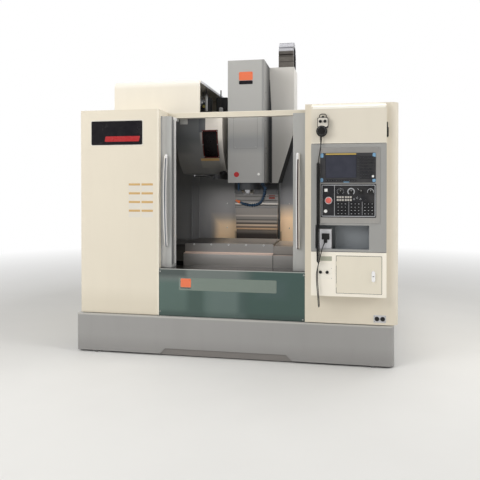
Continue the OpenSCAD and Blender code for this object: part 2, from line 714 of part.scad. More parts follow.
// A Z plate of a given nesting level, its lower edge at z = 0
module z_plate(level) {
  h = z_cover_half - level * nest;
  y = z_cover_y + level * nest;
  block([-h, y, 0], [h, y + plate_t, z_plate_l]);
  for (x = [-h, h - plate_t]) block([x, y, 0], [x + plate_t, guard_y - 14, z_plate_l]);
  if (level < cover_steps) block([-h, y, 0], [h, y + nest - seat_gap, 5]);
}

// Height of the lower edge of Z plate i, counted from the fixed plate
function z_plate_z(i) = z_cover_z0 + (z_cover_z1 - z_plate_l - z_cover_z0) * i / cover_steps;
module z_cover_lower() home() color("lightgray") translate([mid, 0, z_plate_z(1)]) z_plate(2);
module z_cover_upper() home() color("lightgray") translate([mid, 0, z_plate_z(2)]) z_plate(1);

// Front ends of the front Y plates and of the rear Y plates
function y_plate_y(i) = y_cover_front + (saddle_y - saddle_half_y - y_plate_l - y_cover_front) * i / cover_steps;
function y_rear_y(i) = column_y - y_rear_plate_l + (saddle_y + saddle_half_y - column_y + y_rear_plate_l)
  * i / cover_steps;
module y_pair(i) {
  level = cover_steps - i;
  translate([mid, y_plate_y(i), y_cover_top - level * nest]) y_plate(y_plate_l, level, false);
  translate([mid, y_rear_y(i), y_cover_top - level * nest]) y_plate(y_rear_plate_l, level, true);
}
module y_cover_outer() home() color("gray") y_pair(1);
module y_cover_inner() home() color("gray") y_pair(2);

// Inner ends of the X plates right of the table, and their mirror on the left
wing_x0 = mid - wing_half;
wing_x1 = mid + wing_half;
function x_right(i) = wing_x1 - x_plate_l + (table_x + table_l / 2 - wing_x1 + x_plate_l) * i / cover_steps;
function x_left(i) = wing_x0 + (table_x - table_l / 2 - x_plate_l - wing_x0) * i / cover_steps;
module x_pair(i) {
  level = cover_steps - i;
  drop = x_cover_top - level * nest - skirt_z - 4;
  translate([x_right(i), saddle_y, x_cover_top - level * nest])
    channel_x(x_plate_l, cover_half_y - level * nest, drop, x_plate_l - 5);
  translate([x_left(i), saddle_y, x_cover_top - level * nest])
    channel_x(x_plate_l, cover_half_y - level * nest, drop, 0);
}
module x_cover_outer() home() color("dimgray") x_pair(1);
module x_cover_inner() home() color("dimgray") x_pair(2);

// The saddle: carriages, nut and casting, the X rails, the X bearings and the X motor
module saddle() home() color("slategray") {
  y0 = saddle_y - saddle_half_y;
  y1 = saddle_y + saddle_half_y;
  difference() {
    union() {
      block([mid - saddle_half_x, y0, saddle_z], [mid + saddle_half_x, y1, saddle_arm_z + 1]);
      block([mid - saddle_arm_x, y0, saddle_arm_z], [mid + saddle_arm_x, y1, saddle_top]);
    }
    block([mid - 46, y0 - 1, saddle_z - 1], [mid + 46, y1 + 1, y_screw_z + 46]);
    for (x = [-1, 1]) block([mid + x * 200 - 110, y0 + 60, saddle_z - 1],
      [mid + x * 200 + 110, y1 - 60, saddle_top - 30]);
  }
  difference() {
    block([mid - 46, saddle_y - 50, y_screw_z - 42], [mid + 46, saddle_y + 50, y_screw_z + 46]);
    bar_y(mid, saddle_y - 51, saddle_y + 51, y_screw_z, screw_r + run_gap);
  }
  for (x = [-1, 1], y = [-1, 1]) translate([mid + x * y_rail_x, saddle_y + y * 140, base_top])
    rotate([0, 0, 90]) carriage_x(130, saddle_z - base_top + 0.5);
  for (y = [-1, 1]) translate([mid - saddle_arm_x + 8, saddle_y + y * x_rail_y, saddle_top])
    rail_x(2 * saddle_arm_x - 16);
  difference() {
    for (x = [-saddle_arm_x, saddle_arm_x - 28]) block([mid + x, saddle_y - 45, saddle_top],
      [mid + x + 28, saddle_y + 45, x_screw_z + 36]);
    bar_x(mid - saddle_arm_x + 8, mid + saddle_arm_x - 8, saddle_y, x_screw_z, x_screw_r + run_gap);
  }
  bar_x(mid - saddle_arm_x - 170, mid - saddle_arm_x, saddle_y, x_screw_z, x_motor_r);
  bar_x(mid - saddle_arm_x - 205, mid - saddle_arm_x - 170, saddle_y, x_screw_z, x_motor_r - 14);
}

// The long tray on the saddle, the guard on its right and the plates fixed to the saddle
module saddle_guard() home() color("gray") {
  wall_y = cover_half_y + 17;
  for (s = [-1, 1]) {
    x0 = s < 0 ? wing_x0 : mid + saddle_arm_x + seat_gap;
    x1 = s < 0 ? mid - saddle_arm_x - seat_gap : wing_x1;
    block([x0, saddle_y - wall_y, saddle_arm_z], [x1, saddle_y + wall_y, saddle_arm_z + 3]);
    xe = s < 0 ? wing_x0 : wing_x1 - 3;
    block([xe, saddle_y - wall_y, saddle_arm_z], [xe + 3, saddle_y + wall_y,
      x_cover_top - cover_steps * nest - plate_t]);
  }
  for (y = [-wall_y, wall_y - 3]) block([wing_x0, saddle_y + y, saddle_arm_z], [wing_x1, saddle_y + y + 3, saddle_top]);
  for (y = [-wall_y, saddle_half_y], x = [-420, 330]) block([mid + x, saddle_y + y, saddle_arm_z],
    [mid + x + 90, saddle_y + y + wall_y - saddle_half_y, saddle_arm_z + 8]);
  gy = table_y0 - skirt_out + 5;
  block([table_x + table_l / 2 - 140, gy, skirt_z], [wing_x1, gy + sheet, table_z - 4]);
  block([table_x + table_l / 2 - 140, gy, table_z - 4 - sheet], [wing_x1, gy + 20, table_z - 4]);
  block([table_x + table_l / 2 - 140, gy, skirt_z], [wing_x1, saddle_y - wall_y + 1, skirt_z + sheet]);
  top = y_cover_top;
  translate([mid, saddle_y - saddle_half_y - y_plate_l, top]) y_plate(y_plate_l, 0, false);
  translate([mid, saddle_y + saddle_half_y, top]) y_plate(y_rear_plate_l, 0, true);
  x_top = x_cover_top - cover_steps * nest;
  for (x = [x_right(0), x_left(0)]) translate([x, saddle_y, x_top])
    channel_x(x_plate_l, cover_half_y - cover_steps * nest, x_top - saddle_arm_z - 3, x > 0 ? x_plate_l - 5 : 0);
}

// The table with T-slots, carriages, nut, skirt and the inner plates of the X covers
module table() home() color("silver") {
  x0 = table_x - table_l / 2;
  x1 = table_x + table_l / 2;
  difference() {
    block([x0, table_y0, table_z], [x1, table_y0 + table_w, table_top]);
    for (i = [-2 : 2]) {
      block([x0 - 1, saddle_y + i * slot_pitch - slot_w / 2, table_top - 32],
        [x1 + 1, saddle_y + i * slot_pitch + slot_w / 2, table_top + 1]);
      block([x0 - 1, saddle_y + i * slot_pitch - slot_w * 0.9, table_top - 32],
        [x1 + 1, saddle_y + i * slot_pitch + slot_w * 0.9, table_top - 16]);
    }
    for (i = [0 : 4]) bar_y(x0 + 84 + i * 158, table_y0 - 1, table_y0 + 6, table_top - 13, 7);
  }
  for (i = [0 : 4]) bar_y(x0 + 84 + i * 158, table_y0 + 1, table_y0 + 7, table_top - 13, 6);
  for (x = [-1, 1], y = [-1, 1]) translate([table_x + x * 150, saddle_y + y * x_rail_y, saddle_top])
    carriage_x(110, table_z - saddle_top + 0.5);
  difference() {
    block([table_x - 60, saddle_y - 45, saddle_top + 4], [table_x + 60, saddle_y + 45, table_z + 0.5]);
    bar_x(table_x - 61, table_x + 61, saddle_y, x_screw_z, x_screw_r + run_gap);
  }
  block([x0, table_y0 - skirt_out, table_z - sheet], [x1, table_y0 + 30, table_z]);
  block([x0, table_y0 - skirt_out, skirt_z], [x1, table_y0 - skirt_out + sheet, table_z]);
  block([x0, table_y0 - skirt_out, skirt_z], [x1, table_y0 - skirt_out + 4, skirt_z + 8]);
  for (s = [x_right(cover_steps), x_left(cover_steps)]) translate([s, saddle_y, x_cover_top])
    channel_x(x_plate_l, cover_half_y, x_cover_top - skirt_z - 4, s > table_x ? x_plate_l - 5 : 0);
}

module x_screw() home() color("silver") {
  bar_x(mid - saddle_arm_x + 8 + seat_gap, mid + saddle_arm_x - 8 - seat_gap, saddle_y, x_screw_z, x_screw_r);
}
module y_screw() home() color("silver") {
  bar_y(mid, base_front + seat_gap, column_y - 40 - 8 - seat_gap, y_screw_z, screw_r);
}
module z_screw() home() color("silver") {
  bar_z(mid, column_y - z_screw_y, z_cover_z0 + 30 + seat_gap, column_top - 14 - seat_gap, screw_r);
}

// The head casting: slide, nut, arm, spindle housing and the top Z plate
module head_casting() home() color("slategray") {
  beam_half = 128;
  zs = column_y - z_screw_y;
  difference() {
    union() {
      block([mid - 188, z_cover_y + 20, nose_z], [mid + 188, column_y - rail_h - 4, 1990]);
      block([mid - beam_half, spindle_y, 1392], [mid + beam_half, z_cover_y + 21, 1860]);
      bar_z(mid, spindle_y, nose_z + 36, 1900, housing_r);
      block([mid - z_cover_half, z_cover_y - 36, nose_z], [mid + z_cover_half, z_cover_y - seat_gap, head_z0 - 1]);
      block([head_x0 + sheet, spindle_y + 30, 1420], [head_x1 - sheet, spindle_y + 90, 1440]);
      block([head_x0 + sheet, spindle_y + 30, 1880], [head_x1 - sheet, spindle_y + 90, 1900]);
      block([mid - 100, spindle_y - 100, 1880], [mid + 100, spindle_y + 160, 1900]);
      block([mid - 38, z_cover_y + 20, 1500], [mid + 38, column_y - 12, 1620]);
      block([head_x1, side_y + 20, 1700], [head_x1 + 40, side_y + 60, 1740]);
      block([mid + 120, side_y + 20, 1700], [head_x1 + 40, side_y + 60, 1740]);
    }
    block([mid - 60, spindle_y + 140, 1450], [mid + 60, z_cover_y - 20, 1800]);
    block([mid - 40, zs - 40, nose_z - 1], [mid + 40, column_y, 1500]);
    block([mid - 40, zs - 40, 1620], [mid + 40, column_y, 1991]);
    bar_z(mid, zs, 1499, 1621, screw_r + run_gap);
    bar_z(mid, spindle_y, nose_z, 1901, shaft_r + run_gap);
    bar_z(mid, spindle_y, nose_z + 70, 1820, shaft_r + 24);
  }
  for (x = [-1, 1], z = [1400, 1870]) translate([mid + x * z_rail_x, column_y, z])
    rotate([90, 0, 0]) rotate([0, 0, 90]) carriage_x(110, rail_h + 5);
  translate([mid, 0, z_plate_z(cover_steps)]) z_plate(0);
  block([mid - z_cover_half, z_cover_y, z_cover_z1 - 2], [mid + z_cover_half, z_cover_y + 22, z_cover_z1]);
}

// The sheet cover in front of the head, open below and behind
module head_front_cover() home() color("darkgray") {
  difference() {
    rblock([head_x0, head_y, head_z0], [head_x1, head_back + 20, head_z1], 6);
    rblock([head_x0 + sheet, head_y + sheet, head_z0 - 1], [head_x1 - sheet, head_back + 60, head_z1 - sheet], 4);
    block([head_x0 - 1, head_back, head_z0 - 1], [head_x1 + 1, head_back + 61, head_z1 + 1]);
    block([head_x1 - 10, side_y + 20, 1695], [head_x1 + 1, side_y + 60, 1745]);
  }
  face_plate(panel_hatch_x0, panel_hatch_x0 + 216, 1716, 2010, head_y - 1.5, head_y + 1, 8);
}
panel_hatch_x0 = -98;

// The tall cover on the head's right with its slanted lower edge, open at the back
module head_side_cover() home() color("darkgray") difference() {
  side_body(0, side_y, side_back);
  side_body(sheet, side_y + sheet, side_back + 1);
  block([chain_x0 - 6, chain_y - chain_t / 2 - seat_gap, head_z1 - 10],
    [chain_x0 + chain_w + 6, chain_y + chain_t / 2 + 4, head_z1 + 1]);
  block([head_x1 - 1, side_y + 19, 1695], [head_x1 + sheet + 1, side_y + 61, 1745]);
  block([head_x1 - 1, z_cover_y + 12, head_z0], [head_x1 + 25, side_back + 1, head_z1 + 1]);
}
module side_body(t, y0, y1) translate([0, y1, 0]) rotate([90, 0, 0]) linear_extrude(y1 - y0)
  polygon([[head_x1 + (t > 0 ? t : 0), head_z0 + 2 + t], [head_x1 + side_foot_w - t * 0.4, head_z0 + 2 + t],
    [side_x1 - t, side_slant_z + t * 0.4], [side_x1 - t, head_z1 - t], [head_x1 + (t > 0 ? t : 0), head_z1 - t]]);

// The turning spindle: nose with its drive keys, tool taper, drawbar bore and shaft
module spindle() home() color("gainsboro") translate([mid, spindle_y, nose_z]) {
  difference() {
    rotate_extrude($fn = 64) polygon([[0, 0], [nose_r - 18, 0], [nose_r - 14, 3], [nose_r - 14, 14], [nose_r, 18],
      [nose_r, 35.5], [shaft_r, 35.5], [shaft_r, 560], [20, 560], [20, 596], [0, 596]]);
    translate([0, 0, -0.01]) cylinder(h = taper_l, r1 = taper_r, r2 = taper_r - taper_l * 7 / 48, $fn = 64);
    translate([0, 0, 10]) cylinder(h = taper_l + 60, r = 8.5, $fn = 40);
  }
  for (s = [-1, 1]) translate([s * (taper_r + 10) - 8, -8, -6]) cube([16, 16, 7]);
}

// The spindle motor over the head, with cooling ribs and a fan cap
module spindle_motor() home() color([0.15, 0.15, 0.16]) translate([mid, spindle_y, 1900]) {
  difference() {
    union() {
      translate([-92, -92, 0]) cube([184, 184, 14]);
      translate([-82, -82, 14]) linear_extrude(270) rounded_rect(164, 164, 26);
      for (a = [0 : 90 : 270], i = [-2 : 2]) rotate([0, 0, a]) translate([82, i * 24 - 3, 24]) cube([9, 6, 250]);
      translate([0, 0, 284]) cylinder(h = 60, r = 78, $fn = 48);
    }
    translate([0, 0, -1]) cylinder(h = 4, r = 60, $fn = 48);
  }
}

// Two coolant lines at the nose: a stub with a nozzle and a long segmented hose
hose_pts = [[132, 1395, -18], [161, 1356, -20], [156, 1310, -25], [143, 1262, -30], [124, 1228, -35], [98, 1208, -40],
  [62, 1200, -45], [24, 1200, -50], [-10, 1206, -55], [-41, 1217, -60], [-72, 1230, -64], [-102, 1244, -67]];
module coolant_nozzles() home() color("midnightblue") {
  for (i = [0 : len(hose_pts) - 2]) hose_segment(hose_pts[i], hose_pts[i + 1], i == len(hose_pts) - 2);
  block([mid + 128.3, spindle_y - 48, 1385], [mid + 158, spindle_y + 30, 1420]);
  bar_z(mid - 72.6, spindle_y - 87, 1352, 1421, 9);
  translate([mid - 72.6, spindle_y - 87, 1330]) cylinder(h = 22, r1 = 4, r2 = 9, $fn = 32);
}
module hose_segment(a, b, last) translate([mid + a[0], spindle_y + a[2], a[1]])
  point_to([b[0] - a[0], b[2] - a[2], b[1] - a[1]]) {
    sphere(r = 13, $fn = 24);
    cylinder(h = norm(b - a), r1 = last ? 10 : 12, r2 = last ? 4 : 10, $fn = 24);
  }
module point_to(v) rotate([0, acos(v[2] / norm(v)), atan2(v[1], v[0])]) children();

// The sliding doors are one shape and its mirror; x runs from the free edge
module door(edge, side) {
  translate([edge, 0, 0]) mirror([side < 0 ? 1 : 0, 0, 0]) difference() {
    union() {
      block([0, door_y, door_z], [door_w, door_y + 34, door_top]);
      block([0, door_y + 33, door_z], [26, door_y + door_d, door_top]);
      block([door_w - 20, door_y + 33, door_z], [door_w, door_y + 60, door_top]);
      block([0, door_y + 33, door_top - 22], [44, beam_y + 40, door_top]);
      block([4, beam_y + 6, door_top - 1], [40, beam_y + 38, beam_z - seat_gap]);
    }
    block([sheet, door_y + sheet, door_z + sheet], [door_w - sheet, door_y + 34 - 1.5, door_top - sheet]);
    face_plate(glass_x, glass_x + glass_w - 24, glass_z - glass_h / 2 + 12, glass_z + glass_h / 2 - 12,
      door_y - 1, door_y + 40, 26);
    block([-1, door_y + 62, door_z + 20], [6, door_y + 78, door_top - 20]);
    for (z = [handle_z[0] + 12, handle_z[1] - 12]) bar_y(handle_in, door_y - 1, door_y + 10, z, 5.2);
  }
}
glass_x = 150;
module left_door() home() color("darkgray") door(door_x[0], -1);
module right_door() home() color("darkgray") door(door_x[1], 1);

// Window panes, held in the doors' hollow behind the front sheet
module window(edge, side) translate([edge, 0, 0]) mirror([side < 0 ? 1 : 0, 0, 0])
  face_plate(glass_x - 12, glass_x + glass_w - 12, glass_z - glass_h / 2, glass_z + glass_h / 2,
    door_y + sheet, door_y + sheet + glass_t, 30);
module left_door_window() home() color([0.7, 0.8, 0.8, 0.4]) window(door_x[0], -1);
module right_door_window() home() color([0.7, 0.8, 0.8, 0.4]) window(door_x[1], 1);

// A bowed bar, a piece of a big ring, with its two feet in the door sheet
module handle(edge, side) {
  half = (handle_z[1] - handle_z[0]) / 2 - 12;
  bow = handle_out - 2 * handle_r;
  bow_r = (half * half + bow * bow) / (2 * bow);
  sweep_a = asin(half / bow_r);
  translate([edge + side * handle_in, door_y - handle_r - 1 + bow_r - bow, (handle_z[0] + handle_z[1]) / 2]) {
    rotate([0, 90, 0]) rotate([0, 0, -90 - sweep_a]) rotate_extrude(angle = 2 * sweep_a, $fn = 96)
      translate([bow_r, 0]) circle(handle_r, $fn = 32);
  }
  for (z = [handle_z[0] + 12, handle_z[1] - 12]) {
    bar_y(edge + side * handle_in, door_y - handle_r - 1, door_y + 7, z, 5);
    translate([edge + side * handle_in, door_y - handle_r - 1, z]) sphere(r = handle_r, $fn = 32);
  }
}
module left_door_handle() home() color("white") handle(door_x[0], -1);
module right_door_handle() home() color("white") handle(door_x[1], 1);

// Drum outline of the magazine, cut flat below and open above
module drum(r, x0, x1) intersection() {
  bar_fine_x(x0, x1, mag_y, mag_z, r);
  block([x0 - 1, mag_y - r - 1, mag_z0 + (mag_r - r)], [x1 + 1, mag_y + r + 1, mag_z1]);
}
module bar_fine_x(x0, x1, y, z, r) translate([x0, y, z]) rotate([0, 90, 0]) cylinder(h = x1 - x0, r = r, $fn = 120);
window_x = [-396, -247];
window_z = [1637, 1888];

module magazine_cover() home() color("oldlace") difference() {
  union() {
    drum(mag_r - 6, mag_x[0], mag_x[1]);
    drum(mag_r, mag_x[0], mag_x[1] - 40);
  }
  drum(mag_r - 6 - sheet, mag_x[0] + sheet, mag_x[1] - sheet);
  block([mag_x[0] - 1, 0, mag_z1 - 2], [mag_x[1] + 1, 2000, mag_z1 + 1]);
  block([mag_x[0] + sheet, mag_y - mag_r + 40, mag_z1 - 30], [mag_x[1] - sheet, mag_y + mag_r - 40, mag_z1 + 1]);
  block([window_x[0] + 6, mag_y - mag_r - 1, window_z[0] + 6], [window_x[1] - 6, mag_y - mag_r + 80, window_z[1] - 6]);
  block([mag_x[1] - 10, column_y - 60, mag_z0 + 20], [mag_x[1] + 1, mag_y + mag_r, mag_z1 + 1]);
  bar_z(arm_x, arm_y, mag_z0 - 1, mag_z0 + 55, 48);
  block([mag_x[0] - 1, mag_y - 140, mag_z - 140], [mag_x[0] + 10, mag_y + 140, mag_z + 139]);
}

// The curved viewing window of the magazine
module magazine_window() home() color([0.35, 0.05, 0.06]) intersection() {
  difference() {
    bar_fine_x(window_x[0], window_x[1], mag_y, mag_z, mag_r + 4);
    bar_fine_x(window_x[0] - 1, window_x[1] + 1, mag_y, mag_z, mag_r);
  }
  block([window_x[0], mag_y - mag_r - 10, window_z[0]], [window_x[1], mag_y - 200, window_z[1]]);
}

// The magazine disc with its hub, its spokes and a ring of tool pots
module tool_carousel() home() color([0.2, 0.2, 0.22]) translate([0, mag_y, mag_z]) rotate([0, 90, 0]) {
  disc_x = mag_x[0] + 44;
  difference() {
    union() {
      translate([0, 0, disc_x]) cylinder(h = 22, r = pot_circle - 6, $fn = 96);
      translate([0, 0, disc_x]) cylinder(h = 90, r = axle_r + 26, $fn = 64);
      for (i = [0 : pots - 1]) rotate([0, 0, (i + 0.5) * 360 / pots]) translate([pot_circle, 0, disc_x + 5]) pot();
    }
    for (i = [0 : 7]) rotate([0, 0, i * 45 + 22.5]) translate([190, 0, disc_x - 1]) cylinder(h = 24, r = 56, $fn = 40);
    translate([0, 0, disc_x - 1]) cylinder(h = 100, r = axle_r + run_gap, $fn = 64);
  }
}
module pot() difference() {
  union() {
    cylinder(h = 107, r = pot_r, $fn = 32);
    translate([-pot_r - 14, -12, 0]) cube([30, 24, 40]);
  }
  translate([0, 0, 40]) cylinder(h = 80, r1 = 16, r2 = 24, $fn = 32);
}

// The changer drive: cam box, bracket to the column, magazine axle and the motor on top
module arm_drive() home() color([0.16, 0.16, 0.17]) {
  inner = mag_x[1] - sheet - 2;
  difference() {
    union() {
      rblock([arm_x - 62, arm_y - 44, mag_z0 + 60], [inner, arm_y + 130, 1780], 12);
      bar_z(arm_x, arm_y, mag_z0 - 3, mag_z0 + 70, 39);
      block([arm_x - 40, arm_y + 129, 1570], [inner, column_y + 6, 1760]);
      block([arm_x - 40, column_y + 5, 1640], [mid - column_half, column_y + 88, 1980]);
    }
    bar_z(arm_x, arm_y, mag_z0 - 4, mag_z0 + 104, arm_shaft_r + run_gap);
  }
  rblock([arm_x - 60, mag_y - 80, 1740], [arm_x + 22, mag_y + 60, mag_z + 60], 8);
  block([arm_x - 210, mag_y - 170, mag_z + 50], [arm_x + 22, mag_y + 50, mag_z + 60]);
  bar_z(arm_x - 170, mag_y - 130, mag_z + 59, mag_z + 330, 34);
  bar_x(mag_x[0] + 50, arm_x - 59, mag_y, mag_z, axle_r);
  bar_z(arm_x - 60, mag_y, mag_z + 59, mag_z + 230, 40);
  rblock([arm_x - 116, mag_y - 46, mag_z + 213], [arm_x - 4, mag_y + 46, mag_z + 345], 12);
}

// The double changer arm with a gripper at each end and its shaft
module tool_arm() home() color([0.14, 0.14, 0.15]) translate([arm_x, arm_y, arm_z]) {
  difference() {
    union() {
      linear_extrude(arm_t) polygon([[-26, -arm_reach + 30], [26, -arm_reach + 30], [38, -60], [38, 60],
        [26, arm_reach - 30], [-26, arm_reach - 30], [-38, 60], [-38, -60]]);
      for (s = [-1, 1]) translate([0, s * (arm_reach - 8), 0]) cylinder(h = arm_t, r = 40, $fn = 40);
      cylinder(h = mag_z0 - 3 - seat_gap - arm_z, r = 42, $fn = 40);
      cylinder(h = mag_z0 + 100 - arm_z, r = arm_shaft_r, $fn = 48);
    }
    for (s = [-1, 1]) translate([s * 30, s * (arm_reach + 2), -1]) {
      cylinder(h = arm_t + 2, r = 31, $fn = 40);
    }
  }
}

// The hood over the magazine with its rounded front edge, open at its right end and below
module atc_hood() home() color("oldlace") {
  difference() {
    hood_body(0, hood_x[0], hood_x[1]);
    hood_body(sheet, hood_x[0] + sheet, hood_x[1] + 1);
  }
}
module hood_body(t, x0, x1) translate([x0, 0, 0]) rotate([90, 0, 90]) linear_extrude(x1 - x0) {
  low = skin_top - (t > 0 ? 1 : 0);
  translate([hood_y[0] + t, low]) square([hood_y[1] - hood_y[0] - 2 * t, hood_top - hood_r - low]);
  translate([hood_y[0] + hood_r, low]) square([hood_y[1] - hood_y[0] - hood_r - t, hood_top - t - low]);
  translate([hood_y[0] + hood_r, hood_top - hood_r]) circle(hood_r - t, $fn = 64);
}

// The electrical cabinet behind the column, with its door, hinges and vents
function deep(f) = back_reach + (f - 1) * ecab_d;
module electrical_cabinet() home() color("oldlace") {
  y0 = back_reach - ecab_d;
  difference() {
    rblock([mid - ecab_half, y0, ecab_z[0]], [mid + ecab_half, back_reach - 12, ecab_z[1]], 4);
    block([mid - ecab_half + sheet, y0 + sheet, ecab_z[0] + sheet],
      [mid + ecab_half - sheet, back_reach, ecab_z[1] - sheet]);
    for (i = [0 : 9]) block([mid + ecab_half - 4, deep(0.19), 560 + i * 22],
      [mid + ecab_half + 1, deep(0.7), 570 + i * 22]);
    for (i = [0 : 9]) block([mid + ecab_half - 4, deep(0.19), 1640 + i * 22],
      [mid + ecab_half + 1, deep(0.7), 1650 + i * 22]);
  }
  difference() {
    face_plate(mid - ecab_half + 1, mid + ecab_half - 1, ecab_z[0] + 1, ecab_z[1] - 1, back_reach - 13,
      back_reach - 4, 6);
    block([mid - 3, back_reach - 9, ecab_z[0]], [mid + 3, back_reach, ecab_z[1]]);
  }
  block([mid - ecab_half + 1, deep(0.11), ecab_z[0] + 60], [mid + ecab_half - 1, deep(0.125), ecab_z[1] - 60]);
  for (i = [0 : 4]) block([mid - 370 + i * 150, deep(0.12), 1180], [mid - 260 + i * 150, deep(0.7), 1560]);
  block([mid - 360, deep(0.12), 560], [mid - 60, deep(0.66), 860]);
  block([mid + 20, deep(0.12), 620], [mid + 360, deep(0.4), 760]);
  for (x = [-ecab_half + 10, ecab_half - 10], z = [ecab_z[0] + 180, ecab_z[1] - 200])
    bar_z(mid + x, back_reach - 14, z, z + 70, 7);
  face_plate(mid + 24, mid + 54, 1150, 1270, back_reach - 4, back_reach, 12);
}

// Console housing on the cabinet's front, with the compartment below
module console_housing() home() color("oldlace") {
  difference() {
    console_profile(0, con_x[0], con_x[1]);
    difference() {
      console_profile(sheet, con_x[0] + sheet, con_x[1] - sheet);
      block([con_x[0], con_y, con_z[1]], [con_x[1], cabinet_y, con_z[1] + sheet]);
      block([con_x[0], con_y, con_z[2] - sheet], [con_x[1], cabinet_y, con_z[2]]);
    }
    block([con_x[0] + 6, con_y - 1, con_z[1] + 6], [con_x[1] - 6, con_y + sheet + 1, con_z[2] - 6]);
    compartment(0, -1);
    for (x = power_x) bar_y(x, con_y - 1, con_y + sheet + 1, power_z, stem_r + run_gap);
  }
  difference() {
    compartment(sheet, 1);
    compartment(0, -1);
  }
  for (x = power_x) difference() {
    bar_y(x, con_y + 1, con_y + 22, power_z, 10);
    bar_y(x, con_y, con_y + 22 - 2, power_z, stem_r + run_gap);
  }
}
module compartment(t, y) block([cdoor[0] + 10 - t, con_y + y, cdoor[2] + 10 - t],
  [cdoor[1] - 10 + t, con_y + comp_d + t, cdoor[3] - 10 + t]);
module console_profile(t, x0, x1) translate([x0, 0, 0]) rotate([90, 0, 90]) linear_extrude(x1 - x0)
  polygon([[con_y + t, con_z[0] + t], [con_y + t, con_z[3] - t * 1.2],
    [cabinet_y + (t > 0 ? 1 : 0), skin_top - sheet - t * 1.2],
    [cabinet_y + (t > 0 ? 1 : 0), con_z[0] + t]]);

// The console's grey front plate with the pocket behind it and the data unit in it
module console_plate() home() color("darkgray") {
  difference() {
    face_plate(con_x[0] + 1, con_x[1] - 1, con_z[1] + 1, con_z[2] - 1, con_y - 2.5, con_y, 3);
    block([pocket[0], con_y - 4, pocket[2]], [pocket[1], con_y + 1, pocket[3]]);
  }
  difference() {
    block([pocket[0] - sheet, con_y - 1, pocket[2] - sheet], [pocket[1] + sheet, con_y + pocket_d, pocket[3] + sheet]);
    block([pocket[0], con_y - 4, pocket[2]], [pocket[1], con_y + pocket_d - sheet, pocket[3]]);
  }
  block([unit_x[0], con_y + 14, pocket[2]], [unit_x[1], con_y + pocket_d - sheet, pocket[3] - 30]);
}
unit_x = [690, 800];

// The steel plate that carries the two control units
module control_backplate() home() color("silver")
  face_plate(bplate[0], bplate[1], bplate[2], bplate[3], con_y - 2.5 - back_t, con_y - 2.5, 4);

unit_face = con_y - 2.5 - back_t;
scr_x = [755, 980];
scr_z = [1431, 1599];

// The display unit: bezel, sunk screen, soft keys and the block of letter keys
module display_unit() home() color([0.25, 0.26, 0.28]) {
  y0 = unit_face - disp_t;
  difference() {
    face_plate(disp[0], disp[1], disp[2], disp[3], y0, unit_face, 10);
    face_plate(scr_x[0], scr_x[1], scr_z[0], scr_z[1], y0 - 1, y0 + 6, 3);
  }
  for (i = [0 : 11]) key(scr_x[0] + 4 + i * 18.6, 1407, 14, 11, y0);
  for (i = [0 : 8]) key(scr_x[1] + 6, scr_z[0] + 8 + i * 17.4, 10, 11, y0);
  for (r = [0 : 7], c = [0 : 5]) key(scr_x[1] + 24 + c * 17.8, 1426 + r * 21, 13.5, 14, y0);
}
module key(x, z, w, h, y) face_plate(x, x + w, z, z + h, y - 3, y + 1, 1.5);

// The operator panel: blocks of keys, and bores for the knobs and the emergency stop
module operator_panel() home() color([0.16, 0.16, 0.17]) {
  y0 = unit_face - op_t;
  difference() {
    face_plate(panel[0], panel[1], panel[2], panel[3], y0, unit_face, 8);
    for (x = knob_x) bar_y(x, y0 - 1, y0 + op_t - 1.5, knob_z, stem_r + run_gap);
    bar_y(stop_x, y0 - 1, y0 + op_t - 0.5, stop_z, 9 + run_gap);
    for (z = [1214, 1310]) block([panel[0] + 4, y0 - 1, z], [814, y0 + 1, z + 1.5]);
    block([820, y0 - 1, panel[2] + 10], [821.5, y0 + 1, panel[3] - 8]);
  }
  for (b = [0, 1], r = [0, 1], c = [0 : 2]) key(838 + b * 58 + c * 18, 1262 + r * 21, 14, 14, y0);
  for (b = [0 : 2], r = [0 : 3], c = [0 : 2]) key(838 + b * 96 + c * 26, 1160 + r * 24, 20, 18, y0);
  key(748, 1330, 22, 22, y0);
  bar_y(757, y0 - 8, y0 + 1, 1186, 12);
  bar_y(1045, y0 - 14, y0 + 1, 1268, 8);
}

// A rotary knob with its pointer rib and stem
module knob(i) home() color([0.1, 0.1, 0.1]) translate([knob_x[i], unit_face - op_t - seat_gap, knob_z])
  rotate([90, 0, 0]) {
  difference() {
    union() {
      cylinder(h = 4, r = knob_r, $fn = 48);
      translate([0, 0, 4]) cylinder(h = knob_h - 4, r1 = knob_r - 2, r2 = knob_r - 4, $fn = 48);
    }
    for (s = [-1, 1]) translate([s * (knob_r - 1) - 5, -30, 6]) cube([10, 60, knob_h]);
  }
  translate([0, 0, -(op_t - 3)]) cylinder(h = op_t, r = stem_r, $fn = 32);
}
module mode_knob() knob(0);
module rapid_knob() knob(1);
module feed_knob() knob(2);
module spindle_knob() knob(3);

// The emergency stop: mushroom head on a stem that goes into the panel
module stop_button() home() color("red") translate([stop_x, unit_face - op_t - stop_travel - seat_gap, stop_z])
  rotate([90, 0, 0]) {
  rotate_extrude($fn = 48) polygon([[0, 0], [stop_r - 5, 0], [stop_r - 5, 5], [stop_r, 8], [stop_r, 14],
    [stop_r - 4, 18], [stop_r - 12, 20.5], [0, 21]]);
  translate([0, 0, -stop_travel - seat_gap - 0.5]) cylinder(h = stop_travel + 2, r = 9, $fn = 40);
}

module power_button(x) home() color([0.1, 0.1, 0.1]) translate([x, con_y - power_travel - seat_gap, power_z])
  rotate([90, 0, 0]) {
  rotate_extrude($fn = 40) polygon([[0, 0], [power_r, 0], [power_r, 5], [power_r - 2, 7], [0, 7]]);
  translate([0, 0, -power_travel - 10]) cylinder(h = power_travel + 12, r = stem_r, $fn = 32);
}
module power_on_button() power_button(power_x[0]);
module power_off_button() power_button(power_x[1]);

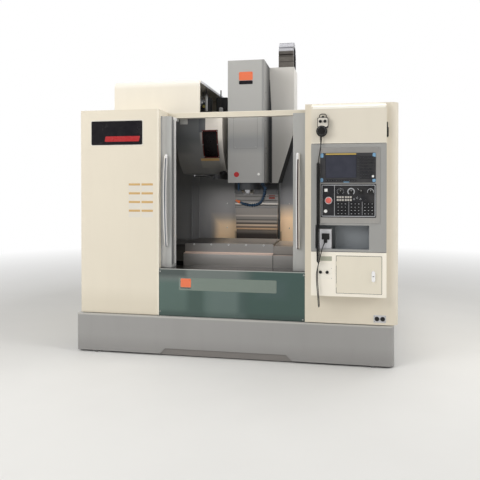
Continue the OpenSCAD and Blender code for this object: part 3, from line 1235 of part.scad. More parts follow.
// The compartment door with its hinge pin on the left and a bore for the latch
module compartment_door() home() color("oldlace") {
  difference() {
    face_plate(cdoor[0], cdoor[1], cdoor[2], cdoor[3], con_y - 3, con_y - seat_gap, 3);
    bar_y(clatch_x, con_y - 5, con_y, clatch_z, 6 + run_gap);
  }
  for (z = [cdoor[2] + 14, cdoor[3] - 17]) block([cdoor[0] + 30, con_y - 1, z], [cdoor[1] - 30, con_y + 5, z + 3]);
  for (z = [cdoor[2] + 40, cdoor[3] - 70]) bar_z(cdoor[0] + 1, con_y - 3.5, z, z + 30, 3);
}

// The oval chrome latch of the compartment
module compartment_latch() home() color("gainsboro") {
  face_plate(clatch_x - 13, clatch_x + 13, clatch_z - 40, clatch_z + 40, con_y - 15, con_y - 3 - seat_gap, 12.9);
  bar_y(clatch_x, con_y - 6, con_y + 8, clatch_z, 6);
  block([clatch_x - 6, con_y + 4, clatch_z - 6], [clatch_x + 30, con_y + 8, clatch_z + 6]);
}

// The black latch on the right flank of the console
module side_latch() home() color([0.1, 0.1, 0.1]) {
  y = con_y + 60;
  block([con_x[1] + seat_gap, y - 14, latch_z[0]], [con_x[1] + 12, y + 14, latch_z[1] - 6]);
  bar_y(con_x[1] + 6.2, y - 14, y + 14, latch_z[1] - 6, 5.7);
  block([con_x[1] + 11, y - 9, latch_z[0] + 6], [con_x[1] + 17, y + 9, latch_z[1] - 40]);
}

// The handwheel pendant: body, two selectors and its hook
module pendant_body() home() color([0.12, 0.12, 0.12]) {
  yb = con_y - seat_gap;
  yf = yb - pend_t + 8;
  difference() {
    union() {
      face_plate(pend_x[0], pend_x[1], dial_z + 25, pend_z[1], yf, yb, 12);
      bar_y(dial_x, yf - 4, yb, dial_z, dial_r + 6);
      for (x = [718, 752]) bar_y(x, yf - 12, yf + 1, 1846, 11);
    }
    bar_y(dial_x, yf - 5, yf + 10, dial_z, stem_r + run_gap);
  }
  block([728, yb - 12, pend_z[1] - 2], [744, yb, pend_z[1] + 14]);
  bar_z(cord_x, con_y - 22, pend_z[0] - 20, pend_z[0] + 4, 7);
}
cord_x = 722;

module pendant_dial() home() color([0.1, 0.1, 0.1]) {
  yf = con_y - seat_gap - pend_t + 8 - 4 - seat_gap;
  translate([dial_x, yf, dial_z]) rotate([90, 0, 0]) {
    rotate_extrude($fn = 64) polygon([[0, 0], [dial_r, 0], [dial_r, 10], [dial_r - 3, 13], [dial_r - 8, 14],
      [dial_r - 10, 11], [0, 11]]);
    translate([0, 0, -12]) cylinder(h = 14, r = stem_r, $fn = 32);
    translate([18, 10, 10]) cylinder(h = front_reach + yf - 10, r = 5, $fn = 32);
  }
}

// Routes of the handwheel's cord, then rings swept along them
lead_pts = [[722, -144, 1714], [722, -144, 1690], [720, -146, 1660], [714, -151, 1620], [708, -157, 1585],
  [704, -160, 1560], [703, -161, 1548.4]];
coil_pts = [[703, -161, 1548], [703, -161, 1450], [703, -161, 1300], [703, -161, 1150], [703, -160, 1000],
  [704, -159, 870], [705, -158, 804]];
return_pts = [[705, -158, 803], [703, -160, 785], [695, -165, 750], [691, -166, 710], [694, -167, 640],
  [700, -168, 570], [705, -167, 500], [707, -163, 485], [709, -154, 478], [711, -145, 485], [711, -141, 500],
  [706, -139, 570], [698, -137, 680], [699, -136, 760], [709, -134, 810], [720, -132, 860], [731, -132, 905],
  [743, -127, 938], [755, -111.5, 962]];
module pendant_cord_lead() home() color([0.08, 0.08, 0.08]) {
  sweep(lead_pts, cord_r, 8);
  sweep(return_pts, cord_r, 8);
}
module pendant_cord_coil() home() color([0.08, 0.08, 0.08]) sweep(coil_pts, coil_r, 10);

function unit(v) = v / norm(v);
function tangent(p, i) = unit(p[min(i + 1, len(p) - 1)] - p[max(i - 1, 0)]);
function side_of(t) = unit(cross(t, [0, 1, 0]));
// Rings of n points around each point of the route
function ring(p, i, r, n) = let (t = tangent(p, i), u = side_of(t), w = cross(t, u))
  [for (k = [0 : n - 1]) p[i] + r * (cos(360 * k / n) * u + sin(360 * k / n) * w)];
module sweep(p, r, n) {
  m = len(p);
  rings = [for (i = [0 : m - 1]) each ring(p, i, r, n)];
  sides = [for (i = [0 : m - 2], k = [0 : n - 1])
    [i * n + k, i * n + (k + 1) % n, (i + 1) * n + (k + 1) % n, (i + 1) * n + k]];
  polyhedron(rings, concat(sides, [[for (k = [n - 1 : -1 : 0]) k], [for (k = [0 : n - 1]) (m - 1) * n + k]]));
}

base_casting();
levelling_feet();
coolant_pan();
column();
left_enclosure();
right_cabinet();
inner_guards();
crossbeam();
front_apron();
electrical_cabinet();
console_housing();
console_plate();
control_backplate();
display_unit();
operator_panel();
stop_button();
mode_knob();
rapid_knob();
feed_knob();
spindle_knob();
power_on_button();
power_off_button();
compartment_door();
compartment_latch();
side_latch();
pendant_body();
pendant_dial();
pendant_cord_lead();
pendant_cord_coil();
head_casting();
head_front_cover();
head_side_cover();
spindle();
spindle_motor();
coolant_nozzles();
drag_chain();
z_cover_lower();
z_cover_upper();
y_cover_outer();
y_cover_inner();
x_cover_outer();
x_cover_inner();
saddle();
saddle_guard();
table();
x_screw();
y_screw();
z_screw();
left_door();
left_door_window();
left_door_handle();
right_door();
right_door_window();
right_door_handle();
magazine_cover();
magazine_window();
tool_carousel();
tool_arm();
arm_drive();
atc_hood();
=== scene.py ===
import math
import bmesh
import bpy
from contextlib import contextmanager
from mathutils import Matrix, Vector


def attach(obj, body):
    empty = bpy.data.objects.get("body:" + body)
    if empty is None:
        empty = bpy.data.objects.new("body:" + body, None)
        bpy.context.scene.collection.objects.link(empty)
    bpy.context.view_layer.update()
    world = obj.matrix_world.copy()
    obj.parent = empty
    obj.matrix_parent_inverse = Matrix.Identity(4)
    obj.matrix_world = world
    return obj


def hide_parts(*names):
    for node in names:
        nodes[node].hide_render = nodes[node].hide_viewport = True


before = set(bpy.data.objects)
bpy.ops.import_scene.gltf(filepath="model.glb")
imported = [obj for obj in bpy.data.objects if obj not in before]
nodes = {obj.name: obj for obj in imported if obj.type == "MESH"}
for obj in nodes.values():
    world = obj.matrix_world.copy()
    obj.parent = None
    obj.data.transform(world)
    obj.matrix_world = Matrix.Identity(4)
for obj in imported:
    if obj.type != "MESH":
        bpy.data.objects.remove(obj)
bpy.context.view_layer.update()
print("frame loaded:", len(nodes), "nodes")


# The source counts in millimetres from the front of the pan, the frame in metres from the middle
def at(x, y, z):
    return Vector((x / 1000, y / 1000 - 1.020, z / 1000))


def paint(*tone):
    # 0 to 255, as a screen shows it, becomes linear light
    linear = [((c / 255 + 0.055) / 1.055) ** 2.4 if c > 10 else c / 255 / 12.92 for c in tone]
    return (*linear, 1.0)


def addObject(name, data, body=None):
    made = bpy.data.objects.new(name, data)
    bpy.context.scene.collection.objects.link(made)
    if body:
        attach(made, body)
    return made


# camera
view = {"place": (0.9036, -5.2257, 1.3549), "tilt": 89.411, "turn": 10.482, "lens": 40.90,
        "shift": (-0.0104, -0.0960)}
camData = bpy.data.cameras.new("standpoint")
camData.lens, camData.sensor_width = view["lens"], 36
camData.shift_x, camData.shift_y = view["shift"]
camData.clip_start, camData.clip_end = 0.05, 200
cam = addObject("standpoint", camData)
cam.location = view["place"]
cam.rotation_euler = (math.radians(view["tilt"]), 0, math.radians(view["turn"]))
bpy.context.scene.camera = cam


# mesh making
def finishPiece(mesh, name, body, materials, smooth=False):
    # the mesh is drawn in source millimetres and put in place here
    for v in mesh.verts:
        v.co = at(*v.co)
    bmesh.ops.recalc_face_normals(mesh, faces=mesh.faces)
    data = bpy.data.meshes.new(name)
    mesh.to_mesh(data)
    mesh.free()
    for m in materials if isinstance(materials, list) else [materials]:
        data.materials.append(m)
    data.shade_smooth() if smooth else data.shade_flat()
    return addObject(name, data, body)


@contextmanager
def newPiece(name, body, slot, materials, smooth=False):
    mesh = bmesh.new()
    yield mesh
    finishPiece(mesh, name, body, materials, smooth)


def roundedOutline(a0, a1, b0, b1, radius):
    radius = max(0.01, min(radius, (a1 - a0) / 2 - 0.001, (b1 - b0) / 2 - 0.001))
    points = []
    for ca, cb, start in ((a1 - radius, b1 - radius, 0), (a0 + radius, b1 - radius, 90),
                          (a0 + radius, b0 + radius, 180), (a1 - radius, b0 + radius, 270)):
        for k in range(6):
            t = math.radians(start + 18 * k)
            points.append((ca + radius * math.cos(t), cb + radius * math.sin(t)))
    return points


def toward(axis, a, b, depth):
    # a and b run along the face, depth is the coordinate across it
    return (a, depth, b) if axis == "y" else (depth, a, b) if axis == "x" else (a, b, depth)


def skinRings(mesh, rings, mat=0, loop=False):
    # rings of vertices joined in order, capped at both ends or closed to a loop
    n = len(rings[0])
    for one, two in zip(rings, rings[1:] + rings[:1] if loop else rings[1:]):
        for k in range(n):
            mesh.faces.new((one[k], one[(k + 1) % n], two[(k + 1) % n], two[k])).material_index = mat
    for cap in () if loop else (rings[0][::-1], rings[-1]):
        mesh.faces.new(cap).material_index = mat


def addRings(mesh, rings, axis, mat=0):
    made = [[mesh.verts.new(toward(axis, a, b, depth)) for a, b in outline] for outline, depth in rings]
    skinRings(mesh, made, mat)


def addPlate(mesh, a0, a1, b0, b1, back, front, radius=2, edge=0.4, axis="y", mat=0):
    # a flat plate with round corners and a softened front edge
    step = edge if front > back else -edge
    addRings(mesh, [(roundedOutline(a0, a1, b0, b1, radius), back),
                    (roundedOutline(a0, a1, b0, b1, radius), front - step),
                    (roundedOutline(a0 + edge, a1 - edge, b0 + edge, b1 - edge, radius), front)], axis, mat)


def addFrame(mesh, a0, a1, b0, b1, width, back, front, radius=6, axis="y", mat=0):
    # a closed band round an opening, with a softened crest
    step = 0.25 * (front - back)
    spots = [(0, back), (0, front - step), (0.25, front), (0.75, front), (1, front - step), (1, back)]
    rings = []
    for share, depth in spots:
        g = width * share
        rings.append([mesh.verts.new(toward(axis, a, b, depth))
                      for a, b in roundedOutline(a0 + g, a1 - g, b0 + g, b1 - g, max(radius - g, 0.6))])
    skinRings(mesh, rings, mat, loop=True)


def addTurned(mesh, centre, profile, axis="y", steps=24, mat=0):
    # profile points are radius and depth; the first and last close the form
    rings = []
    for radius, depth in profile:
        ring = [(centre[0] + radius * math.cos(2 * math.pi * k / steps),
                 centre[1] + radius * math.sin(2 * math.pi * k / steps)) for k in range(steps)]
        rings.append((ring, depth))
    addRings(mesh, rings, axis, mat)


def addBox(mesh, low, high, edge=0.6, mat=0):
    made = bmesh.ops.create_cube(mesh, size=1)["verts"]
    for v in made:
        v.co = Vector([(l + h) / 2 + c * (h - l) for l, h, c in zip(low, high, v.co)])
    faces = {f for v in made for f in v.link_faces}
    edges = list({e for f in faces for e in f.edges})
    cut = bmesh.ops.bevel(mesh, geom=edges, offset=edge, segments=2, profile=0.6, affect="EDGES")
    for f in set(cut["faces"]) | {f for f in faces if f.is_valid}:
        f.material_index = mat


def frameAlong(points, i):
    a, b = points[max(i - 1, 0)], points[min(i + 1, len(points) - 1)]
    return (Vector(b) - Vector(a)).normalized()


def addTube(mesh, points, radius, sides=10, mat=0):
    radii = radius if isinstance(radius, (list, tuple)) else [radius] * len(points)
    up = Vector((0, 1, 0)) if abs(frameAlong(points, 0).y) < 0.9 else Vector((1, 0, 0))
    rings = []
    for i, p in enumerate(points):
        along = frameAlong(points, i)
        up = (up - along * up.dot(along)).normalized()
        side = along.cross(up)
        rings.append([mesh.verts.new(Vector(p) + radii[i] * (math.cos(2 * math.pi * k / sides) * side
                      + math.sin(2 * math.pi * k / sides) * up)) for k in range(sides)])
    skinRings(mesh, rings, mat)


def smoothRoute(points, steps):
    # Catmull-Rom through the points
    out = []
    for i in range(len(points) - 1):
        p0, p1, p2, p3 = (Vector(points[min(max(k, 0), len(points) - 1)]) for k in (i - 1, i, i + 1, i + 2))
        for k in range(steps):
            t = k / steps
            out.append(0.5 * ((2 * p1) + (p2 - p0) * t + (2 * p0 - 5 * p1 + 4 * p2 - p3) * t * t
                              + (3 * p1 - p0 - 3 * p2 + p3) * t ** 3))
    out.append(Vector(points[-1]))
    return out


def evenRoute(points, gap):
    out, left = [points[0]], gap
    for a, b in zip(points, points[1:]):
        span, done = (b - a).length, 0.0
        while span - done >= left:
            done += left
            out.append(a + (b - a) * (done / span))
            left = gap
        left -= span - done
    return out


# shader groups, built once
class Wiring:
    def __init__(self, tree):
        self.tree = tree

    def feed(self, socket, value):
        if isinstance(value, bpy.types.NodeSocket):
            self.tree.links.new(value, socket)
        else:
            socket.default_value = value

    def add(self, kind, inputs=None, **settings):
        node = self.tree.nodes.new(kind)
        for key, value in settings.items():
            setattr(node, key, value)
        for key, value in (inputs or {}).items():
            self.feed(node.inputs[key], value)
        return node

    def make(self, kind, inputs=None, **settings):
        return self.add(kind, inputs, **settings).outputs[0]

    def math(self, operation, a, b=0.0, clamp=False):
        return self.make("ShaderNodeMath", {0: a, 1: b}, operation=operation, use_clamp=clamp)

    def swing(self, field, size):
        return self.math("MULTIPLY", self.math("SUBTRACT", field, 0.5), size)

    def mix(self, share, a, b):
        return self.add("ShaderNodeMix", {0: share, 6: a, 7: b}, data_type="RGBA").outputs[2]

    def tinted(self, colour, value):
        return self.make("ShaderNodeHueSaturation", {"Color": colour, "Value": value})

    def place(self):
        return self.add("ShaderNodeTexCoord").outputs["Object"]

    def noise(self, where, scale, detail=2.0, rough=0.5):
        return self.add("ShaderNodeTexNoise", {"Vector": where, "Scale": scale, "Detail": detail,
                                               "Roughness": rough}).outputs["Fac"]

    def stretch(self, where, scale):
        return self.make("ShaderNodeVectorMath", {0: where, 1: scale}, operation="MULTIPLY")

    def remap(self, value, low, high, to0=0.0, to1=1.0):
        return self.make("ShaderNodeMapRange", {"Value": value, "From Min": low, "From Max": high,
                                                "To Min": to0, "To Max": to1})


def newGroup(name, inputs, outputs=("Color", "Roughness", "Height")):
    # four numbers are a colour, three a vector and one a plain value
    tree = bpy.data.node_groups.new(name, "ShaderNodeTree")
    for label, value in inputs.items():
        kind = {3: "Vector", 4: "Color"}[len(value)] if isinstance(value, tuple) else "Float"
        socket = tree.interface.new_socket(label, in_out="INPUT", socket_type="NodeSocket" + kind)
        socket.default_value = value
    for label in outputs:
        kind = "Color" if label == "Color" else "Float"
        tree.interface.new_socket(label, in_out="OUTPUT", socket_type="NodeSocket" + kind)
    w = Wiring(tree)
    return tree, w, w.add("NodeGroupInput").outputs, w.add("NodeGroupOutput").inputs, w.place()


# powder coat: soft mottle, fine orange peel, grime in streaks that run down
skinTree, w, gi, go, where = newGroup("powderSkin",
    {"Paint": (0.8, 0.8, 0.8, 1), "Grime Colour": (0.2, 0.18, 0.15, 1),
    "Mottle": 0.025, "Grime": 0.1, "Gloss": 0.4})
cloud = w.noise(where, 2.6, 4)
streak = w.noise(w.stretch(where, (4, 4, 0.6)), 2.0, 2)
peel = w.noise(where, 420, 2)
shade = w.math("ADD", 1.0, w.swing(cloud, w.math("MULTIPLY", gi["Mottle"], 2)))
dirt = w.math("MULTIPLY", w.remap(streak, 0.5, 1.1), gi["Grime"], clamp=True)
w.feed(go["Color"], w.mix(dirt, w.tinted(gi["Paint"], shade), gi["Grime Colour"]))
w.feed(go["Roughness"], w.math("ADD", gi["Gloss"], w.swing(cloud, 0.22)))
w.feed(go["Height"], w.math("ADD", peel, w.math("MULTIPLY", cloud, 0.2)))

# metal: fine lines along one direction and smudges
steelTree, w, gi, go, where = newGroup("rolledSteel",
    {"Metal": (0.5, 0.5, 0.5, 1), "Lines": (400, 400, 6), "Contrast": 0.2,
    "Gloss": 0.3, "Smudge": 0.15})
lines = w.noise(w.stretch(where, gi["Lines"]), 1.0, 3, 0.6)
smear = w.noise(where, 4.0, 5, 0.6)
light = w.math("ADD", 1.0, w.math("ADD", w.swing(lines, gi["Contrast"]), w.swing(smear, gi["Smudge"])))
w.feed(go["Color"], w.tinted(gi["Metal"], light))
w.feed(go["Roughness"], w.math("ADD", gi["Gloss"], w.swing(smear, gi["Smudge"])))
w.feed(go["Height"], lines)

# moulded plastic or rubber: fine spark-eroded grain with dust on it
grainTree, w, gi, go, where = newGroup("mouldedGrain",
    {"Tint": (0.05, 0.05, 0.05, 1), "Dust Colour": (0.35, 0.33, 0.3, 1),
    "Dust": 0.1, "Grain": 900.0, "Gloss": 0.45})
pits = w.noise(where, gi["Grain"], 2)
film = w.noise(where, 9.0, 4, 0.65)
share = w.math("MULTIPLY", w.remap(film, 0.4, 0.85), gi["Dust"], clamp=True)
w.feed(go["Color"], w.mix(share, gi["Tint"], gi["Dust Colour"]))
w.feed(go["Roughness"], w.math("ADD", gi["Gloss"], w.swing(film, 0.3)))
w.feed(go["Height"], pits)

# sand casting under paint: lumps and pores
castTree, w, gi, go, where = newGroup("castSkin", {"Paint": (0.2, 0.2, 0.2, 1), "Lumps": 60.0, "Wear": 0.15})
lump = w.noise(where, gi["Lumps"], 4, 0.6)
pore = w.noise(where, 300, 2)
w.feed(go["Color"], w.tinted(gi["Paint"], w.math("ADD", 1.0, w.swing(lump, gi["Wear"]))))
w.feed(go["Roughness"], w.remap(pore, 0.3, 0.7, 0.45, 0.62))
w.feed(go["Height"], w.math("ADD", lump, w.math("MULTIPLY", pore, 0.3)))

# 1 inside a box of the frame and 0 outside, with a soft border
maskTree, w, gi, go, where = newGroup("boxMask", {"Centre": (0, 0, 0), "Half": (1, 1, 1), "Soft": 0.0005},
    ["Mask"])
offset = w.make("ShaderNodeVectorMath", {0: where, 1: gi["Centre"]}, operation="SUBTRACT")
size = w.make("ShaderNodeVectorMath", {0: offset}, operation="ABSOLUTE")
past = w.make("ShaderNodeVectorMath", {0: size, 1: gi["Half"]}, operation="SUBTRACT")
parts = w.add("ShaderNodeSeparateXYZ", {0: past}).outputs
furthest = w.math("MAXIMUM", w.math("MAXIMUM", parts[0], parts[1]), parts[2])
inside = w.math("SUBTRACT", 1.0, w.math("DIVIDE", furthest, gi["Soft"], clamp=True), clamp=True)
w.feed(go["Mask"], inside)
print("shader groups built")


# materials
def startMaterial(name, **fixed):
    made = bpy.data.materials.new(name)
    made.use_nodes = True
    made.node_tree.nodes.clear()
    w = Wiring(made.node_tree)
    shader = w.add("ShaderNodeBsdfPrincipled", fixed)
    w.add("ShaderNodeOutputMaterial", {"Surface": shader.outputs[0]})
    return made, w, shader


def useGroup(w, tree, **values):
    node = w.add("ShaderNodeGroup", node_tree=tree)
    for key, value in values.items():
        w.feed(node.inputs[key.replace("_", " ")], value)
    return node.outputs


def boxMask(w, low, high, soft=0.0005):
    a, b = at(*low), at(*high)
    return useGroup(w, maskTree, Centre=(a + b) / 2, Half=(b - a) / 2, Soft=soft)["Mask"]


def inZones(w, colour, zones):
    # each zone is low corner, high corner, tone, share and soft border
    for low, high, tone, share, soft in zones:
        colour = w.mix(w.math("MULTIPLY", boxMask(w, low, high, soft), share), colour, paint(*tone))
    return colour


def connect(w, shader, group, colour, bump, distance):
    w.feed(shader.inputs["Base Color"], colour)
    w.feed(shader.inputs["Roughness"], group["Roughness"])
    if bump:
        made = w.add("ShaderNodeBump", {"Height": group["Height"], "Strength": bump, "Distance": distance})
        w.feed(shader.inputs["Normal"], made.outputs[0])


def powderCoat(name, tone, gloss=0.42, grime=0.06, zones=(), dirty=(120, 108, 92), below=None):
    made, w, shader = startMaterial(name)
    skin = useGroup(w, skinTree, Paint=paint(*tone), Grime_Colour=paint(*dirty), Grime=grime, Gloss=gloss)
    colour = inZones(w, skin["Color"], zones)
    if below:
        # faces that look down stay in deep shade
        normal = w.add("ShaderNodeNewGeometry").outputs["Normal"]
        facing = w.add("ShaderNodeSeparateXYZ", {0: normal}).outputs[2]
        colour = w.mix(w.remap(facing, -0.12, -0.25), colour, paint(*below))
    connect(w, shader, skin, colour, 0.06, 0.0004)
    return made


def metal(name, tone, lines=(500, 500, 8), contrast=0.25, gloss=0.3, smudge=0.2, bump=0.05,
          metallic=1.0, zones=()):
    made, w, shader = startMaterial(name, Metallic=metallic)
    skin = useGroup(w, steelTree, Metal=paint(*tone), Lines=lines, Contrast=contrast, Gloss=gloss,
                    Smudge=smudge)
    connect(w, shader, skin, inZones(w, skin["Color"], zones), bump, 0.0002)
    return made


def moulded(name, tone, gloss=0.45, dust=0.08, grain=900.0, zones=()):
    made, w, shader = startMaterial(name, **{"Specular IOR Level": 0.25 if max(tone) < 90 else 0.45})
    skin = useGroup(w, grainTree, Tint=paint(*tone), Dust=dust, Grain=grain, Gloss=gloss)
    connect(w, shader, skin, inZones(w, skin["Color"], zones), 0.08, 0.0002)
    return made


def casting(name, tone, lumps=60.0, wear=0.2, zones=()):
    made, w, shader = startMaterial(name)
    skin = useGroup(w, castTree, Paint=paint(*tone), Lumps=lumps, Wear=wear)
    connect(w, shader, skin, inZones(w, skin["Color"], zones), 0.25, 0.0015)
    return made


far = 3000
greySide = powderCoat("greySide", (208, 206, 202), gloss=0.4, grime=0.06, below=(46, 46, 48))
# the thin pale strip at x -600 to -592 is a painted highlight down the left panel's edge; the first zone
# darkens a low band
creamPanel = powderCoat("creamPanel", (230, 222, 205), zones=[
    ((-far, -far, 300), (far, far, 420), (214, 205, 186), 0.5, 0.12),
    ((-600, 0, 325), (-592, 30, 2010), (246, 240, 226), 0.8, 0.002)])
creamCabinet = powderCoat("creamCabinet", (231, 223, 207), zones=[
    ((-far, -far, 300), (far, far, 420), (214, 205, 186), 0.4, 0.12)])
# both zones are painted highlights along two of the crossbeam's edges
creamBeam = powderCoat("creamBeam", (228, 220, 202), zones=[
    ((-far, 200, 1954), (far, 330, 1958), (250, 244, 230), 0.7, 0.002),
    ((-far, 200, 1994), (far, 330, 1999), (250, 244, 230), 0.7, 0.002)])
# the first zone makes the lower front paler; the thin pale bands at z 878-888 and 1680-1692 and along the top
# at z 1944-1970 are painted highlights on the edges
creamConsole = powderCoat("creamConsole", (230, 223, 208), zones=[
    ((-far, -far, 556), (far, -100, 884), (252, 246, 233), 1.0, 0.004),
    ((-far, -130, 1680), (far, -110, 1692), (252, 246, 232), 0.7, 0.002),
    ((-far, -130, 878), (far, -110, 888), (250, 244, 230), 0.7, 0.002),
    ((660, -124, 1944), (1186, 200, 1970), (255, 252, 242), 0.95, 0.001)])
creamDoor = powderCoat("creamDoor", (234, 227, 210))
# painted highlight along the hood's top front; the cool grey strip at the open end's top corner is painted
# shade
creamHood = powderCoat("creamHood", (240, 234, 221), zones=[
    ((-far, 0, 2270), (far, 480, 2330), (247, 243, 234), 0.8, 0.02),
    ((-368, 500, 2290), (-360, far, 2316), (206, 209, 218), 0.9, 0.002)])
# the grey zones are painted shade on the drum, darkest on the left under the hood and low down
creamDrum = powderCoat("creamDrum", (246, 240, 231), gloss=0.36, grime=0.15, dirty=(96, 92, 84), zones=[
    ((-300, 500, 1480), (-200, 1700, 1700), (132, 131, 129), 0.6, 0.12),
    ((-700, 500, 1700), (-420, 1700, 2060), (86, 91, 97), 0.94, 0.04),
    ((-700, 500, 1480), (-400, 1700, 1720), (118, 119, 120), 0.9, 0.09),
    ((-424, 500, 1870), (-366, 1700, 2060), (86, 91, 97), 0.94, 0.003),
    ((-470, 500, 1480), (-280, 1700, 1720), (132, 133, 133), 0.75, 0.08)])
creamRear = powderCoat("creamRear", (226, 219, 203), gloss=0.45)
# painted light on the left door's outer strip; at the door's free edge a painted shade line and a painted
# highlight on the edge face
greyDoor = powderCoat("greyDoor", (180, 181, 180), gloss=0.38, grime=0.05, dirty=(96, 98, 98), zones=[
    ((-640, -60, 726), (-572, 200, 1990), (226, 227, 228), 0.8, 0.02),
    ((-520, 108, 726), (-500, 142, 1990), (104, 106, 110), 0.9, 0.002),
    ((-520, 150, 726), (-500, 240, 1990), (240, 240, 240), 0.95, 0.002)])
# painted light on the upper head; painted shade on the front cover's right edge, darkening towards the back;
# the last two zones are a darker band low on the front and a cool darker band across the hatch's lower part
greyHead = powderCoat("greyHead", (172, 171, 169), gloss=0.4, grime=0.08, dirty=(110, 108, 104), zones=[
    ((-far, 600, 2020), (far, 1900, far), (180, 180, 178), 0.9, 0.06),
    ((160, 642, 1300), (200, 1300, far), (146, 146, 146), 0.8, 0.001),
    ((160, 900, 1300), (200, 1300, far), (44, 45, 48), 0.92, 0.2),
    ((-far, 640, 1380), (far, 650, 1700), (150, 150, 150), 0.5, 0.2),
    ((-far, 640, 1735), (far, 650, 1800), (132, 136, 141), 0.45, 0.07)])
# a painted highlight along the pan's top lip; painted shade in the notch's recess, with a painted shadow line
# under its top edge; the second zone darkens the lowest 60 mm
greyPan = powderCoat("greyPan", (158, 157, 156), gloss=0.4, grime=0.16, dirty=(112, 110, 106), zones=[
    ((-far, -far, 309), (far, far, 320), (206, 204, 198), 0.55, 0.004),
    ((-far, -far, 0), (far, far, 60), (132, 130, 128), 0.35, 0.09),
    ((-640, 6.6, 5), (560, 300, 76), (124, 120, 117), 0.9, 0.002),
    ((-640, 6.6, 62), (560, 300, 72), (66, 62, 60), 0.8, 0.003)])
# the pocket zone is painted shade, darker and cooler inside the recess; the second zone is paler round the
# data unit
greyConsole = powderCoat("greyConsole", (162, 162, 160), gloss=0.4, zones=[
    ((681, -125, 906), (1071, 60, 1082), (134, 140, 146), 0.85, 0.001),
    ((686, -112, 900), (804, -20, 1056), (196, 195, 196), 0.95, 0.001)])
greyInner = powderCoat("greyInner", (96, 98, 100), gloss=0.42)
print("paints mixed")

# painted light: warm pools of light low on the guards on either side of the head and a lighter zone above on
# the left; painted shade on the strip under the head behind the table
guardSteel = metal("guardSteel", (132, 134, 138), lines=(20, 20, 2), contrast=0.1, gloss=0.45, smudge=0.3,
    metallic=0.15, zones=[
    ((-385, 1340, 700), (-150, 1349, 1000), (236, 206, 170), 0.6, 0.11),
    ((-385, 1340, 700), (-150, 1349, 975), (255, 226, 188), 1.0, 0.07),
    ((200, 1340, 700), (520, 1349, 1050), (255, 222, 184), 1.0, 0.15),
    ((-470, 1340, 1080), (-210, 1349, 1470), (146, 146, 146), 0.4, 0.2),
    ((-207, 1240, 826), (235, 1344, 1020), (104, 98, 92), 0.9, 0.003),
    ((-207, 1240, 826), (235, 1344, 890), (44, 38, 36), 0.9, 0.03)])
# the broad light and dark patches are painted reflections in the polished apron; at the top a painted
# highlight on the flange's front edge and painted shade behind it
apronSteel = metal("apronSteel", (100, 118, 113), lines=(3, 3, 90), contrast=0.08, gloss=0.16, smudge=0.12,
    bump=0.01, zones=[
    ((-far, 0, 636), (160, 40, 700), (132, 134, 132), 0.6, 0.05),
    ((-far, 0, 660), (-380, 40, 700), (84, 92, 90), 0.8, 0.04),
    ((170, 0, 300), (620, 40, 700), (72, 92, 88), 0.7, 0.12),
    ((-far, 0, 698), (far, 26, 708), (232, 230, 224), 0.8, 0.002),
    ((-far, 34, 698), (far, 240, 708), (34, 34, 36), 0.9, 0.004),
    ((-far, 0, 300), (far, 40, 345), (76, 88, 86), 0.6, 0.03),
    ((-330, 0, 380), (-240, 40, 560), (76, 92, 88), 0.6, 0.05),
    ((-140, 0, 380), (60, 40, 560), (116, 130, 128), 0.5, 0.09),
    ((90, 0, 380), (130, 40, 560), (76, 92, 90), 0.6, 0.05),
    ((250, 0, 520), (420, 40, 600), (96, 110, 112), 0.3, 0.06)])
# painted highlights and shade in bands, where pressed ribs on the upright covers would catch the light; the
# warm ones near the table are painted warm reflections
paintedRibBands = ((1262, 1300, 82, 0), (1222, 1240, 74, 0), (1190, 1204, 160, 4), (1166, 1188, 66, 0),
        (1150, 1163, 172, 8), (1086, 1148, 138, 4), (1070, 1083, 176, 8), (1040, 1068, 134, 4),
        (1030, 1038, 84, 2), (1012, 1028, 162, 10), (1000, 1008, 100, 6), (990, 998, 52, 4),
        (972, 989, 196, 24), (952, 970, 112, 14), (938, 951, 190, 36), (904, 914, 70, 8), (640, 902, 16, 2),
        (916, 936, 20, 2))
paintedRibZones = [((-far, 1200, low), (far, 1300, high), (0.93 * tone + warm, 0.93 * tone, 0.93 * tone - warm),
          0.85, 0.004) for low, high, tone, warm in paintedRibBands]
coverSteel = metal("coverSteel", (118, 117, 116), lines=(1.2, 1.2, 40), contrast=0.9, gloss=0.3, smudge=0.2,
    bump=0.0, metallic=0.6, zones=paintedRibZones)
# the black zone left of the table is painted shade
trayCoverSteel = metal("trayCoverSteel", (112, 108, 104), lines=(4, 26, 26), contrast=0.25, gloss=0.36,
    smudge=0.35, bump=0.01, metallic=0.6, zones=[
    ((-1000, 480, 600), (-523, 1100, 866), (16, 16, 18), 0.95, 0.002)])
# the pinkish line along the ledge is a painted highlight and the black zone left of the table is painted
# shade; the dark strip at x 277-284 is the seam between guard pieces
guardSkirt = metal("guardSkirt", (118, 115, 112), lines=(4, 26, 26), contrast=0.2, gloss=0.36, smudge=0.3,
    bump=0.01, metallic=0.5, zones=[
    ((284, 470, 640), (1010, 481.5, 772), (200, 197, 194), 0.95, 0.001),
    ((130, 466, 771), (1010, 500, 780), (226, 206, 196), 0.75, 0.001),
    ((277, 470, 640), (284, 481.5, 780), (66, 64, 62), 0.9, 0.001),
    ((-1000, 480, 600), (-523, 1100, 866), (16, 16, 18), 0.95, 0.002)])
backplateSteel = metal("backplateSteel", (192, 189, 184), lines=(120, 120, 5), contrast=0.14, gloss=0.36,
    smudge=0.2)
